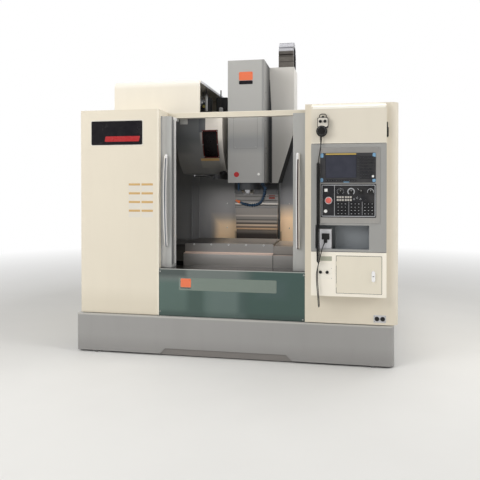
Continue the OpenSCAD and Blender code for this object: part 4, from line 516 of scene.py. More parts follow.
# painted shade on the table top's left end; the thin pale band at z 772-787 is a painted highlight along the
# edge; the other two zones colour the front face and skirt
groundTable = metal("groundTable", (166, 160, 154), lines=(5, 60, 60), contrast=0.14, gloss=0.34, smudge=0.35,
    metallic=0.6, zones=[
    ((-1000, 524, 840), (-330, 1100, 870), (34, 34, 36), 0.85, 0.2),
    ((-540, 470, 786), (300, 524.5, 862), (164, 162, 160), 0.9, 0.001),
    ((-540, 470, 600), (300, 524.5, 774), (214, 210, 207), 0.9, 0.001),
    ((-540, 465, 772), (300, 524.5, 787), (250, 228, 216), 0.95, 0.001)])
groundRod = metal("groundRod", (190, 190, 188), lines=(500, 8, 500), gloss=0.22, smudge=0.1)
# the grey and dark stripes down the door handles are painted reflections
chrome = metal("chrome", (250, 250, 250), lines=(4, 4, 300), contrast=0.04, gloss=0.14, smudge=0.05, bump=0.0,
    metallic=0.5, zones=[
    ((-549, -20, 880), (-539, 70, 1600), (112, 116, 124), 0.95, 0.002),
    ((530, -20, 880), (540, 70, 1580), (62, 38, 36), 0.95, 0.002)])
screwMetal = metal("screwMetal", (196, 196, 194), lines=(700, 700, 700), contrast=0.2, gloss=0.3)
screwDark = metal("screwDark", (70, 70, 72), lines=(700, 700, 700), contrast=0.2, gloss=0.4)
socketDark = moulded("socketDark", (18, 18, 18), gloss=0.7)
toolSteel = metal("toolSteel", (206, 206, 208), lines=(300, 300, 300), contrast=0.2, gloss=0.22)
castGrey = casting("castGrey", (104, 108, 110))
# the pale band at z 1190-1204 is a painted highlight on the plate
castNose = casting("castNose", (70, 72, 76), wear=0.3, zones=[
    ((-207, 1228, 1150), (235, 1344, 1293), (96, 96, 96), 0.95, 0.001),
    ((-207, 1228, 1190), (235, 1344, 1204), (160, 158, 154), 0.95, 0.001)])
footSteel = casting("footSteel", (92, 92, 92), lumps=90.0)
blackPaint = powderCoat("blackPaint", (40, 41, 43), gloss=0.4, grime=0.1, dirty=(84, 84, 84))
# a painted highlight on the chain's top and painted shade on its right side; the third zone is a darker band
# at the front
chainPlastic = moulded("chainPlastic", (88, 84, 80), gloss=0.5, dust=0.3, grain=500.0, zones=[
    ((240, 1000, 2704), (420, 1500, 2830), (176, 177, 183), 0.9, 0.006),
    ((384, 1180, 2540), (420, 1500, 2760), (14, 16, 24), 0.9, 0.006),
    ((240, 1120, 2640), (386, 1150, 2694), (62, 58, 55), 0.6, 0.004)])
blackKnob = moulded("blackKnob", (26, 26, 27), gloss=0.36)
rubber = moulded("rubber", (30, 30, 31), gloss=0.62, dust=0.15, grain=700.0)
cordSkin = moulded("cordSkin", (26, 26, 27), gloss=0.42, dust=0.1, grain=1200.0)
# the paler front of the cap is a painted sheen
redCap = moulded("redCap", (214, 58, 50), gloss=0.3, dust=0.12, grain=1500.0, zones=[
    ((750, -175, 1238), (806, -150.5, 1292), (232, 150, 138), 0.35, 0.004)])
whiteKey = moulded("whiteKey", (236, 236, 234), gloss=0.35, dust=0.05)
blueTrim = moulded("blueTrim", (122, 166, 200), gloss=0.35, dust=0.08)
goldTrim = metal("goldTrim", (214, 184, 104), lines=(300, 300, 4), contrast=0.15, gloss=0.32, metallic=0.5)
lineInk = moulded("lineInk", (184, 186, 190), gloss=0.5, dust=0.1)
keyInk = moulded("keyInk", (120, 122, 128), gloss=0.5, dust=0.1)
signBlack = moulded("signBlack", (22, 20, 26), gloss=0.24, dust=0.03, grain=1500.0)
signRed = moulded("signRed", (176, 40, 44), gloss=0.28, dust=0.03)
signPale = moulded("signPale", (226, 221, 211), gloss=0.35, dust=0.05)
platePale = moulded("platePale", (250, 245, 233), gloss=0.35, dust=0.04)
eyeYellow = moulded("eyeYellow", (232, 220, 130), gloss=0.3, dust=0.03)
signOchre = moulded("signOchre", (208, 172, 116), gloss=0.35, dust=0.05)
signOrange = moulded("signOrange", (236, 122, 82), gloss=0.3, dust=0.05)
signSteel = metal("signSteel", (132, 144, 136), lines=(60, 60, 4), contrast=0.1, gloss=0.24, metallic=0.8)
seamShade = moulded("seamShade", (138, 138, 136), gloss=0.6)
noteGrey = moulded("noteGrey", (152, 150, 146), gloss=0.4)
sealShade = moulded("sealShade", (58, 59, 62), gloss=0.6)
lampWhite = moulded("lampWhite", (236, 238, 240), gloss=0.3)
greenishPlate = moulded("greenishPlate", (176, 178, 160), gloss=0.4, dust=0.1)
redBrown = moulded("redBrown", (92, 26, 20), gloss=0.3)
hoseBlue = moulded("hoseBlue", (34, 62, 88), gloss=0.34, dust=0.08)
hoseDark = moulded("hoseDark", (22, 40, 60), gloss=0.3, dust=0.08)
nozzleOrange = moulded("nozzleOrange", (226, 110, 52), gloss=0.35, dust=0.08)
dataWhite = moulded("dataWhite", (206, 206, 210), gloss=0.4, dust=0.1)

handsetSkin = moulded("handsetSkin", (30, 30, 31), gloss=0.42, dust=0.08)
displaySkin = moulded("displaySkin", (60, 60, 63), gloss=0.4, dust=0.1, grain=800.0, zones=[
    ((753, -147, 1400), (983, -144.2, 1425), (26, 26, 28), 1.0, 0.0002),
    ((984, -147, 1431), (998, -144.2, 1600), (30, 30, 32), 1.0, 0.0002),
    ((1002, -147, 1420), (1114, -144.2, 1594), (26, 26, 30), 1.0, 0.0002)])
operatorSkin = moulded("operatorSkin", (38, 38, 42), gloss=0.42, dust=0.1, grain=800.0, zones=[
    ((836, -142, 1258), (950, -138.2, 1300), (188, 184, 178), 1.0, 0.0002),
    ((746, -142, 1328), (774, -138.2, 1354), (236, 236, 234), 1.0, 0.0002),
    ((742, -150, 1170), (772, -138.2, 1200), (240, 240, 238), 1.0, 0.0002),
    ((836, -142, 1156), (1108, -138.2, 1256), (20, 20, 22), 1.0, 0.0002)])


def glassLike(name, tint, rough, clear=0.0, shine=0.5):
    made, w, shader = startMaterial(name,
        **{"Transmission Weight": clear, "IOR": 1.49, "Specular IOR Level": shine})
    smear = w.noise(w.place(), 14.0, 4, 0.6)
    paler = paint(*[min(255, c + 8) for c in tint])
    w.feed(shader.inputs["Base Color"], w.mix(w.remap(smear, 0.3, 0.7), paint(*tint), paler))
    w.feed(shader.inputs["Roughness"], w.remap(smear, 0.3, 0.7, rough, rough + 0.06))
    return made


screenGlass = glassLike("screenGlass", (52, 54, 66), 0.1)
drumGlass = glassLike("drumGlass", (8, 2, 3), 0.2, shine=0.12)
doorGlass = glassLike("doorGlass", (206, 216, 214), 0.03, 0.9)
print("materials ready")

finish = (
    (castGrey, "base_casting column saddle"),
    (footSteel, "levelling_feet"),
    (greyPan, "coolant_pan"),
    (creamPanel, "left_enclosure"),
    (creamCabinet, "right_cabinet"),
    (guardSteel, "inner_guards"),
    (creamBeam, "crossbeam"),
    (apronSteel, "front_apron"),
    (creamRear, "electrical_cabinet"),
    (creamConsole, "console_housing"),
    (greyConsole, "console_plate"),
    (backplateSteel, "control_backplate"),
    (displaySkin, "display_unit"),
    (operatorSkin, "operator_panel"),
    (redCap, "stop_button"),
    (blackKnob, "mode_knob rapid_knob feed_knob spindle_knob power_on_button power_off_button "
                "side_latch pendant_dial"),
    (creamDoor, "compartment_door"),
    (chrome, "compartment_latch left_door_handle right_door_handle"),
    (handsetSkin, "pendant_body"),
    (castNose, "head_casting"),
    (greyHead, "head_front_cover"),
    (greySide, "head_side_cover"),
    (toolSteel, "spindle tool_carousel"),
    (blackPaint, "spindle_motor tool_arm arm_drive"),
    (hoseBlue, "coolant_nozzles"),
    (chainPlastic, "drag_chain"),
    (coverSteel, "z_cover_lower z_cover_upper"),
    (trayCoverSteel, "y_cover_outer y_cover_inner x_cover_outer x_cover_inner"),
    (guardSkirt, "saddle_guard"),
    (groundTable, "table"),
    (groundRod, "x_screw y_screw z_screw"),
    (greyDoor, "left_door right_door"),
    (doorGlass, "left_door_window right_door_window"),
    (creamDrum, "magazine_cover"),
    (drumGlass, "magazine_window"),
    (creamHood, "atc_hood"),
)
for coat, names in finish:
    for nodeName in names.split():
        data = nodes[nodeName].data
        data.materials.clear()
        data.materials.append(coat)
print("finishes on the nodes")

# the handset's curly cord, one strand from the grommet to the pocket
curl = {
    "lead": [(722, -144, 1714), (722, -144, 1690), (720, -146, 1660), (714, -151, 1620), (708, -157, 1585),
             (704, -160, 1560), (703, -161, 1548)],
    "coil": [(703, -161, 1548), (703, -161, 1450), (703, -161, 1300), (703, -161, 1150), (703, -160, 1000),
             (704, -159, 870), (705, -158, 803)],
    "back": [(705, -158, 803), (703, -160, 785), (695, -165, 750), (691, -166, 710), (694, -167, 640),
             (700, -168, 570), (705, -167, 500), (707, -163, 485), (709, -154, 478), (711, -145, 485),
             (711, -141, 500), (706, -139, 570), (698, -137, 680), (699, -136, 760), (709, -134, 810),
             (720, -132, 860), (731, -132, 905), (743, -127, 938), (755, -111.5, 962)],
    "strand": 3.2, "coilRadius": 10.6, "pitch": 8.4, "pointsPerTurn": 16, "sides": 8}
core = evenRoute(smoothRoute(curl["coil"], 24), curl["pitch"] / curl["pointsPerTurn"])
route, up = list(evenRoute(smoothRoute(curl["lead"], 12), 8.0)[:-1]), Vector((0, 1, 0))
for i, p in enumerate(core):
    along = frameAlong(core, i)
    up = (up - along * up.dot(along)).normalized()
    side = along.cross(up)
    grow = min(1, i / (curl["pointsPerTurn"] * 1.5), (len(core) - 1 - i) / (curl["pointsPerTurn"] * 1.5))
    t = 2 * math.pi * i / curl["pointsPerTurn"]
    route.append(p + curl["coilRadius"] * max(grow, 0.0) * (math.cos(t) * side + math.sin(t) * up))
route += evenRoute(smoothRoute(curl["back"], 12), 6.0)[1:]
strand = bmesh.new()
addTube(strand, route, curl["strand"], curl["sides"])
curlyCord = finishPiece(strand, "curlyCord", "machine", cordSkin, smooth=True)
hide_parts("pendant_cord_lead", "pendant_cord_coil")


# screws by geometry nodes
def scatterTree(name, inputs):
    tree = bpy.data.node_groups.new(name, "GeometryNodeTree")
    tree.interface.new_socket("Geometry", in_out="INPUT", socket_type="NodeSocketGeometry")
    for label, value in inputs.items():
        kind = "Material" if value is None else "Float"
        socket = tree.interface.new_socket(label, in_out="INPUT", socket_type="NodeSocket" + kind)
        if value is not None:
            socket.default_value = value
    tree.interface.new_socket("Geometry", in_out="OUTPUT", socket_type="NodeSocketGeometry")
    w = Wiring(tree)
    return w, w.add("NodeGroupInput").outputs


def scatter(w, g, shape, scale=(1, 1, 1)):
    # one shape on each point, turned to the way that the point faces
    facing = w.make("GeometryNodeInputNamedAttribute", {"Name": "facing"}, data_type="FLOAT_VECTOR")
    turn = w.make("FunctionNodeAlignRotationToVector", {"Vector": facing}, axis="Z")
    spots = w.make("GeometryNodeMeshToPoints", {"Mesh": g["Geometry"]})
    placed = w.make("GeometryNodeInstanceOnPoints", {"Points": spots, "Instance": shape, "Rotation": turn,
                                                    "Scale": scale})
    return w.make("GeometryNodeRealizeInstances", {"Geometry": placed})


def screwTree():
    w, g = scatterTree("panHeads", {"Head Radius": 0.005, "Head Height": 0.002, "Socket Radius": 0.002,
                                    "Head Metal": None, "Socket Shade": None})
    radius, height = g["Head Radius"], g["Head Height"]
    skirt = w.add("GeometryNodeMeshCone", {"Vertices": 14, "Radius Top": w.math("MULTIPLY", radius, 0.72),
                                           "Radius Bottom": radius, "Depth": height}).outputs["Mesh"]
    dark = w.add("GeometryNodeMeshCylinder", {"Vertices": 6, "Radius": g["Socket Radius"],
                                              "Depth": w.math("MULTIPLY", height, 1.06)}).outputs["Mesh"]
    lift = w.make("ShaderNodeCombineXYZ", {"Z": w.math("MULTIPLY", height, 0.53)})
    risen = w.make("GeometryNodeTransform", {"Geometry": dark, "Translation": lift})
    joined = w.add("GeometryNodeJoinGeometry")
    for part, coat in ((skirt, "Head Metal"), (risen, "Socket Shade")):
        coated = w.make("GeometryNodeSetMaterial", {"Geometry": part, "Material": g[coat]})
        w.feed(joined.inputs[0], coated)
    w.add("NodeGroupOutput", {"Geometry": scatter(w, g, joined.outputs[0])})
    return w.tree


panHeads = screwTree()


def bakeNodes(tree, name, body, points, directions, values):
    data = bpy.data.meshes.new(name + "Spots")
    data.from_pydata([at(*p) for p in points], [], [])
    facing = data.attributes.new("facing", "FLOAT_VECTOR", "POINT")
    for i, d in enumerate(directions):
        facing.data[i].vector = d
    source = addObject(name + "Spots", data)
    modifier = source.modifiers.new("scatter", "NODES")
    modifier.node_group = tree
    for socket in tree.interface.items_tree:
        if socket.in_out == "INPUT" and socket.name in values:
            modifier[socket.identifier] = values[socket.name]
    graph = bpy.context.evaluated_depsgraph_get()
    mesh = bpy.data.meshes.new_from_object(source.evaluated_get(graph), depsgraph=graph)
    bpy.data.objects.remove(source)
    mesh.name = name
    return addObject(name, mesh, body)


front, rightward, leftward, rear = (0, -1, 0), (1, 0, 0), (-1, 0, 0), (0, 1, 0)


def screws(name, body, spots, radius=5.0, height=2.0, bright=True, cap=None):
    # spots are (point, direction)
    return bakeNodes(panHeads, name, body, [p for p, d in spots], [d for p, d in spots], {
        "Head Radius": radius / 1000, "Head Height": height / 1000, "Socket Radius": radius * 0.42 / 1000,
        "Head Metal": cap or (screwMetal if bright else screwDark), "Socket Shade": socketDark})


screws("apronScrews", "machine",
       [((x, 27, z), front) for x, z in ((-584, 355), (577, 333), (-584, 680), (584, 680))], 6, 1.6)
screws("airPlateScrews", "machine", [((x, 4.4, z), front) for x in (1117, 1195) for z in (351, 391)], 4, 1.4)
screws("guardScrews", "machine", [((x, 1345, z), front) for x in (-313, 337) for z in (945, 1195)], 5, 2)
rightSpots = ((741, 2231), (742, 1975), (755, 1723), (755, 1674), (775, 1425))
screws("headCoverScrews", "head_unit", [((181.5, y, z), rightward) for y, z in rightSpots]
       + [((-153.5, y, z), leftward) for y in (741, 1100) for z in (2231, 1975, 1723, 1425)], 6, 1.8, False)
screws("hatchScrews", "head_unit",
       [((x, 642.4, z), front) for x in (-84, 104) for z in (1728, 1998)], 3.6, 1.4)
for side, x, way in (("left", -508.5, rightward), ("right", 495.5, leftward)):
    screws(side + "GasketScrews", side + "_door_unit",
           [((x, 160, z), way) for z in (1869, 1605, 1347, 1089, 831)], 5.5, 1.2, False)
screws("tableScrews", "table_unit",
       [((x, 523, 854), front) for x in (-436, -278, -120, 38, 196)], 8, 2, cap=lampWhite)
screws("rearDoorScrews", "machine",
       [((x, 2236, z), rear) for x in (-404, 432) for z in range(480, 1930, 205)], 6, 1.8)
screws("backplateScrews", "machine",
       [((x, -128.5, z), front) for x in (711, 1141) for z in (1106, 1378, 1648)], 4, 1.4)
screws("stanchionScrews", "machine", [((x, y, z), way) for x, way in ((1294, rightward), (-1269, leftward))
                                      for y in (180, 700, 1220) for z in (470, 1180, 1890)], 6, 1.8)
print("screws set")

# front signs, all blank
signs = {"namePlate": (-1175, -730, 1712, 1909), "bar": (-1057, -759, 1739, 1783),
         "noteTops": (1396, 1323, 1252, 1181), "noteLefts": (-849, -739), "noteWide": 99, "noteHigh": 63,
         "noteHead": 18, "strip": (-423, 371, 532, 633), "block": (-408, -322, 557, 627),
         "under": (-408, -322, 548, 553)}
x0, x1, z0, z1 = signs["namePlate"]
with newPiece("nameBorder", "machine", "panel_plastic", signPale) as sheet:
    addPlate(sheet, x0 - 9, x1 + 9, z0 - 9, z1 + 9, 22, 21.2, 14)
with newPiece("namePlate", "machine", "black_plastic", signBlack) as sheet:
    addPlate(sheet, x0, x1, z0, z1, 21.2, 20.2, 11)
with newPiece("nameBar", "machine", "red_plastic", signRed) as sheet:
    b0, b1, c0, c1 = signs["bar"]
    lean = 8
    outline = [(b0 + 6, c0), (b1 - 4, c0), (b1, c0 + 4), (b1 + lean, c1 - 4), (b1 + lean - 4, c1),
               (b0 + lean + 4, c1), (b0 + lean - 2, c1 - 5), (b0, c0 + 5)]
    inner = [(a + math.copysign(0.5, (b0 + b1) / 2 - a), b + math.copysign(0.5, (c0 + c1) / 2 - b))
             for a, b in outline]
    addRings(sheet, [(outline, 20.2), (outline, 19.8), (inner, 19.5)], "y")
with newPiece("noticePlates", "machine", "panel_plastic", [signOchre, signPale]) as sheet:
    for x in signs["noteLefts"]:
        x1 = x + signs["noteWide"]
        for z in signs["noteTops"]:
            addPlate(sheet, x, x1, z - signs["noteHigh"], z, 22, 21.5, 3, 0.2, mat=1)
            addPlate(sheet, x + 0.6, x1 - 0.6, z - signs["noteHead"], z - 0.6, 21.5, 21.1, 2.5, 0.15)
with newPiece("nameStrip", "machine", "stainless", signSteel) as sheet:
    addPlate(sheet, *signs["strip"], 27, 26.0, 6)
with newPiece("nameBlock", "machine", "red_plastic", [signOrange, signBlack]) as sheet:
    addPlate(sheet, *signs["block"], 26.0, 25.2, 8)
    addPlate(sheet, *signs["under"], 26.0, 25.4, 2, mat=1)

headSigns = {"orange": (-49, 77, 2330, 2406), "strip": (-49, 77, 2294, 2327), "round": (-72, 1480, 24),
             "plug": (132, 1479), "cover": (141, 202, 1247, 1287), "hatch": (-101, 121, 1713, 2013)}
with newPiece("headPlate", "head_unit", "red_plastic", [signOrange, signBlack]) as sheet:
    addPlate(sheet, *headSigns["orange"], 644, 642.4, 12)
    addPlate(sheet, *headSigns["strip"], 644, 642.8, 9, mat=1)
x, z, r = headSigns["round"]
with newPiece("headSpot", "head_unit", "red_plastic", signRed) as sheet:
    disc = [(r, 644), (r, 643), (r - 1.5, 642.4), (r - 8, 642.2), (r - 9, 642.5), (0.5, 642.4)]
    addTurned(sheet, (x, z), disc, "y", 32)
x, z = headSigns["plug"]
with newPiece("headPlug", "head_unit", "panel_plastic", [greyHead, whiteKey]) as sheet:
    addPlate(sheet, x - 29, x + 29, z - 29, z + 29, 644, 642.8, 5)
    addTurned(sheet, (x, z + 2), [(12, 642.8), (12, 640), (10, 638.4), (6, 637.6), (0.5, 637.4)], "y", 20, 1)
with newPiece("coverPlate", "head_unit", "red_plastic", redBrown) as sheet:
    addPlate(sheet, *headSigns["cover"], 1242, 1240.8, 4)
with newPiece("plateRibs", "head_unit", "ground_steel", coverSteel) as sheet:
    for z0, z1 in ((1268, 1279), (1226, 1238), (1180, 1194)):
        addBox(sheet, (-203, 1239.4, z0), (231, 1242.4, z1), 1.3)
hose = {"points": [(146, 752, 1395), (175, 750, 1356), (170, 745, 1310), (157, 740, 1262), (138, 735, 1228),
                   (112, 730, 1208), (76, 725, 1200), (38, 720, 1200), (4, 715, 1206), (-27, 710, 1217),
                   (-58, 706, 1230)], "rings": [12.5, 15.7, 16.5, 15.7, 12.5], "gap": 21,
        "tip": [(-50, 702, 1226.5), (-56, 701.4, 1229), (-60, 701, 1231), (-86, 698.4, 1243),
                (-91, 698, 1245.5)],
        "tipRadii": [12.5, 14.5, 14, 6.4, 5.4]}
with newPiece("hoseTip", "head_unit", "red_plastic", nozzleOrange, smooth=True) as sheet:
    addTube(sheet, hose["tip"], hose["tipRadii"], 18)
with newPiece("hoseJoints", "head_unit", "blue_plastic", hoseDark, smooth=True) as sheet:
    line = evenRoute(smoothRoute(hose["points"], 10), hose["gap"])
    for k, p in enumerate(line[1:-2]):
        along = frameAlong(line, k + 1)
        addTube(sheet, [p + along * step for step in (-8, -6, 0, 6, 8)], hose["rings"], 18)
with newPiece("headSeal", "head_unit", "black_rubber", sealShade) as sheet:
    outline = [(182, 1408), (205, 1408), (205, 2000), (184, 2400), (182, 2400)]
    addRings(sheet, [(outline, 998), (outline, 995)], "y")
with newPiece("hatchSeam", "head_unit", "black_rubber", seamShade) as sheet:
    addFrame(sheet, *headSigns["hatch"], 3.0, 644, 643.4, 10)
print("signs made")

# doors: rubber in the leading edges, frames round the panes
doorTrim = {"paneX": (150, 456), "paneZ": (1102, 1698), "edgeZ": (726, 1925)}
for name, edge, side in (("left", -507, -1), ("right", 494, 1)):
    z0, z1 = doorTrim["edgeZ"]
    with newPiece(name + "EdgeRubber", name + "_door_unit", "black_rubber", rubber) as sheet:
        low, high = sorted((edge + side * 0.6, edge + side * 5.6))
        addBox(sheet, (low, 152.6, z0), (high, 167.4, z1), 1.2)
        for y in (155, 165):
            addTube(sheet, [(edge + side * 1.2, y, z0 + 2), (edge + side * 1.2, y, z1 - 2)], 1.6, 8)
    a, b = sorted(edge + side * x for x in doorTrim["paneX"])
    c, d = doorTrim["paneZ"]
    with newPiece(name + "PaneRubber", name + "_door_unit", "black_rubber", rubber, smooth=True) as sheet:
        addFrame(sheet, a - 12, b + 12, c - 12, d + 12, 14, 90, 87.6, 34)
print("door trim made")

# magazine: curved note plate and window border on the drum
drum = {"y": 1125, "z": 1910, "radius": 480, "border": (
    (-396, -388, 1637, 1888), (-257, -249, 1637, 1888), (-388, -257, 1637, 1646), (-388, -257, 1876, 1888))}


def addArc(mesh, x0, x1, z0, z1, lift, steps=10, thick=1.0, mat=0):
    def depth(z, grow):
        return drum["y"] - math.sqrt((drum["radius"] + grow) ** 2 - (z - drum["z"]) ** 2)
    rows = []
    for k in range(steps + 1):
        z = z0 + (z1 - z0) * k / steps
        outside, inside = depth(z, lift), depth(z, lift - thick)
        corners = ((x0, outside, z), (x1, outside, z), (x1, inside, z), (x0, inside, z))
        rows.append([mesh.verts.new(p) for p in corners])
    skinRings(mesh, rows, mat)


with newPiece("magazineNote", "machine", "panel_plastic", [signOchre, noteGrey]) as sheet:
    addArc(sheet, -430, -254, 1548, 1612, 1.2, mat=1)
    addArc(sheet, -430, -254, 1612.2, 1634, 1.2)
with newPiece("magazineBorder", "machine", "red_plastic", redBrown) as sheet:
    for side in drum["border"]:
        addArc(sheet, *side, 5.4, thick=5.2)
spots = []
for x in (-392, -253):
    for z in (1650, 1758, 1876):
        out = Vector((0, -math.sqrt(drum["radius"] ** 2 - (z - drum["z"]) ** 2), z - drum["z"])).normalized()
        reach = drum["radius"] + 5.3
        spots.append(((x, drum["y"] + out.y * reach, drum["z"] + out.z * reach), tuple(out)))
screws("magazineScrews", "machine", spots, 4.5, 2)

# the hood's turned-in rim at its open end
rim = {"x": (-371, -364.4), "width": 20, "radius": 42}


def hoodLine(inset):
    low, back, top, frontY = 2001, 1608 - inset, 2314 - inset, 450 + inset
    r = rim["radius"] - min(inset, 36)
    line = [(frontY, low), (frontY, top - r)]
    for k in range(1, 9):
        t = math.pi - math.pi / 2 * k / 8
        line.append((frontY + r + r * math.cos(t), top - r + r * math.sin(t)))
    return line + [(back, top), (back, low)]


outer, innerLine = hoodLine(0.4), hoodLine(rim["width"])
with newPiece("hoodRim", "machine", "cream_paint", creamHood) as sheet:
    strips = [[sheet.verts.new((x, y, z)) for y, z in line] for line in (outer, innerLine) for x in rim["x"]]
    order = [strips[0], strips[1], strips[3], strips[2]]
    for i in range(4):
        one, two = order[i], order[(i + 1) % 4]
        for k in range(len(one) - 1):
            sheet.faces.new((one[k], one[k + 1], two[k + 1], two[k]))
    for k in (0, -1):
        sheet.faces.new([s[k] for s in order])
# under the hood hang a lamp tube, a white cap and a socket: x, y, heights, radii, sides, material
hangers = ((-418, 900, (2096, 2102, 2240, 2246), (9, 12, 12, 9), 16, 0), (-418, 900, (2246, 2311), 5, 10, 1),
           (-298, 1000, (2106, 2136, 2143), (20, 20, 12), 20, 0), (-298, 1000, (2143, 2311), 6, 10, 1),
           (-501, 1079, (2222, 2250), 9, 12, 2), (-501, 1079, (2250, 2311), 4, 8, 1))
with newPiece("hoodFittings", "machine", "panel_plastic",
              [lampWhite, blackPaint, signOchre, eyeYellow]) as sheet:
    for x, y, heights, radii, sides, mat in hangers:
        addTube(sheet, [(x, y, z) for z in heights], radii, sides, mat)
    addBox(sheet, (-428, 890, 2236), (-408, 910, 2252), 2, mat=1)
    addTube(sheet, [(-452, 930, 2150), (-452, 936, 2150)], 15, 14, mat=3)
    addTube(sheet, [(-452, 936, 2150), (-452, 1010, 2150)], 22, 14, mat=1)
with newPiece("beamBracket", "machine", "grey_paint", greyConsole) as sheet:
    addBox(sheet, (-505, 322.2, 1906), (-440, 336, 1952), 3)
    addBox(sheet, (-498, 322.2, 1950), (-447, 332, 1974), 3)
with newPiece("drumSeal", "machine", "black_rubber", rubber) as sheet:
    addBox(sheet, (-660, 1343.6, 1481.2), (-206, 1349.4, 1492.4), 1.0)
print("magazine trim made")

# console
console = {
    "caps": ((718, 740, 1580, 1612), (1094, 1116, 1582, 1612), (718, 738, 1400, 1430),
             (1093, 1116, 1400, 1424)),
    "tab": (886, 927, 1397.5, 1404), "gold": (757, 977, 1601, 1611), "screen": (755.4, 979.6, 1431.4, 1598.6),
    "display": -142.5, "panel": -136.5, "plate": -122}
with newPiece("displayCaps", "machine", "blue_plastic", blueTrim) as sheet:
    for cap in console["caps"]:
        addPlate(sheet, *cap, console["display"], -144.6, 7, 1.0)
    addPlate(sheet, *console["tab"], console["display"], -144.2, 3, 0.6)
with newPiece("displayStrip", "machine", "panel_plastic", goldTrim) as sheet:
    addPlate(sheet, *console["gold"], console["display"], -143.2, 2, 0.3)
with newPiece("displayScreen", "machine", "clear_glass", screenGlass) as sheet:
    addPlate(sheet, *console["screen"], console["panel"], -139.4, 2.6, 0.8)
with newPiece("displayButton", "machine", "panel_plastic", whiteKey) as sheet:
    addPlate(sheet, 1089, 1104, 1435, 1450, console["display"], -146.4, 3, 0.8)

# operator panel: frame, dividers, scales round the knobs; the key spots carry marks further down
board = {"frame": (727, 1115, 1147, 1381), "divider": (819.2, 822.4, 1148, 1380), "lines": (924, 1020),
         "knobs": {"mode": 864, "rapid": 941, "feed": 1012, "speed": 1080}, "knobZ": 1331,
         "scales": (("rapid", -50, 230, 27), ("speed", -20, 200, 23)),
         "triangles": ((962, 1276), (985, 1286), (1008, 1276)),
         "keys": [(848 + 96 * b + 26 * c, 1169 + 24 * r)
                  for b in range(3) for r in range(4) for c in range(3)]}
with newPiece("panelLines", "machine", "panel_plastic", lineInk) as sheet:
    face = console["panel"]
    addFrame(sheet, *board["frame"], 5.0, face, -137.6, 9)
    addPlate(sheet, *board["divider"], face, -137.1, 0.6, 0.2)
    for x in board["lines"]:
        addPlate(sheet, x, x + 2, 1158, 1256, face, -137.0, 0.5, 0.2)
    x, z = board["knobs"]["mode"], board["knobZ"]
    for k in range(11):
        t = math.radians(-40 + 26 * k)
        addTube(sheet, [(x - r * math.cos(t), -136.9, z + r * math.sin(t)) for r in (19, 26)], 1.5, 6)
    for knob, start, stop, reach in board["scales"]:
        x, rows = board["knobs"][knob], []
        for k in range(23):
            t = math.radians(start + (stop - start) * k / 22)
            rows.append([sheet.verts.new((x + r * math.cos(t), y, z + r * math.sin(t)))
                         for r, y in ((19, face), (reach, face), (reach, -137.2), (19, -137.2))])
        skinRings(sheet, rows)
    addTube(sheet, [(998, -137.0, 1343), (988, -137.0, 1354)], 2.0, 8)
    for x, z in board["triangles"]:
        turns = [math.radians(90 + 120 * j) for j in range(4)]
        ring = [(x + 8 * math.cos(t), -136.9, z + 8 * math.sin(t)) for t in turns]
        for ends in zip(ring, ring[1:]):
            addTube(sheet, ends, 0.8, 6)


def markTree():
    # short pale dashes on the key tops, each of its own length
    w, g = scatterTree("keyMarks", {"Width": 0.008, "Height": 0.002, "Depth": 0.0004, "Ink": None})
    size = w.make("ShaderNodeCombineXYZ", {"X": g["Width"], "Y": g["Height"], "Z": g["Depth"]})
    dash = w.add("GeometryNodeMeshCube", {"Size": size}).outputs["Mesh"]
    spread = w.add("FunctionNodeRandomValue", {"Seed": 7, 2: 0.55, 3: 1.0}, data_type="FLOAT").outputs[1]
    real = scatter(w, g, dash, w.make("ShaderNodeCombineXYZ", {"X": spread, "Y": 1.0, "Z": 1.0}))
    inked = w.make("GeometryNodeSetMaterial", {"Geometry": real, "Material": g["Ink"]})
    w.add("NodeGroupOutput", {"Geometry": inked})
    return w.tree


keyMarks = markTree()
bakeNodes(keyMarks, "padMarks", "machine", [(x, -139.6, z) for x, z in board["keys"]],
          [front] * len(board["keys"]), {"Width": 0.010, "Height": 0.004, "Depth": 0.0004, "Ink": lineInk})
marks = [(763 + 18.6 * i, -145.6, 1412.5) for i in range(12)]
marks += [(991, -145.6, 1444.5 + 17.4 * i) for i in range(9)]
marks += [(1011 + 17.8 * c, -145.6, 1433 + 21 * r) for r in range(8) for c in range(6)]
bakeNodes(keyMarks, "displayMarks", "machine", marks, [front] * len(marks),
          {"Width": 0.006, "Height": 0.0035, "Depth": 0.0003, "Ink": keyInk})

with newPiece("stopCollar", "machine", "panel_plastic", dataWhite) as sheet:
    collar = [(27, -136.5), (27, -137.5), (25, -138.4), (20.5, -138.4), (20.0, -136.6)]
    addTurned(sheet, (778, 1265), collar, "y", 36)
for knob, x in board["knobs"].items():
    with newPiece(knob + "Pointer", knob + "_unit", "panel_plastic", whiteKey) as sheet:
        addBox(sheet, (x - 1.0, -159.3, 1333), (x + 1.0, -158.4, 1344), 0.3)

with newPiece("powerPlate", "machine", "panel_plastic", [platePale, greenishPlate]) as sheet:
    addPlate(sheet, 694, 806, 680, 802, console["plate"], -123.4, 3)
    addPlate(sheet, 711, 802, 817, 850, console["plate"], -122.8, 2, mat=1)
    addFrame(sheet, 706, 807, 812, 855, 3, console["plate"], -123.0, 4)
with newPiece("plateSeams", "machine", "grey_paint", sealShade) as sheet:
    for z in (884.6, 1683.2):
        addBox(sheet, (650, -123.6, z), (1193, -121.8, z + 3.2), 0.4)
screws("powerPlateScrews", "machine",
       [((x, -123.4, z), front) for x in (700, 800) for z in (688, 762)], 2.6, 1.0)
with newPiece("latchSlot", "latch_unit", "black_plastic", blackKnob) as sheet:
    addBox(sheet, (1096, -138.4, 708.5), (1108, -136.4, 713.5), 0.8)
with newPiece("hatchGasket", "machine", "black_rubber", rubber) as sheet:
    addFrame(sheet, 833, 1164, 578.5, 857.5, 3.0, console["plate"], -122.9, 4)
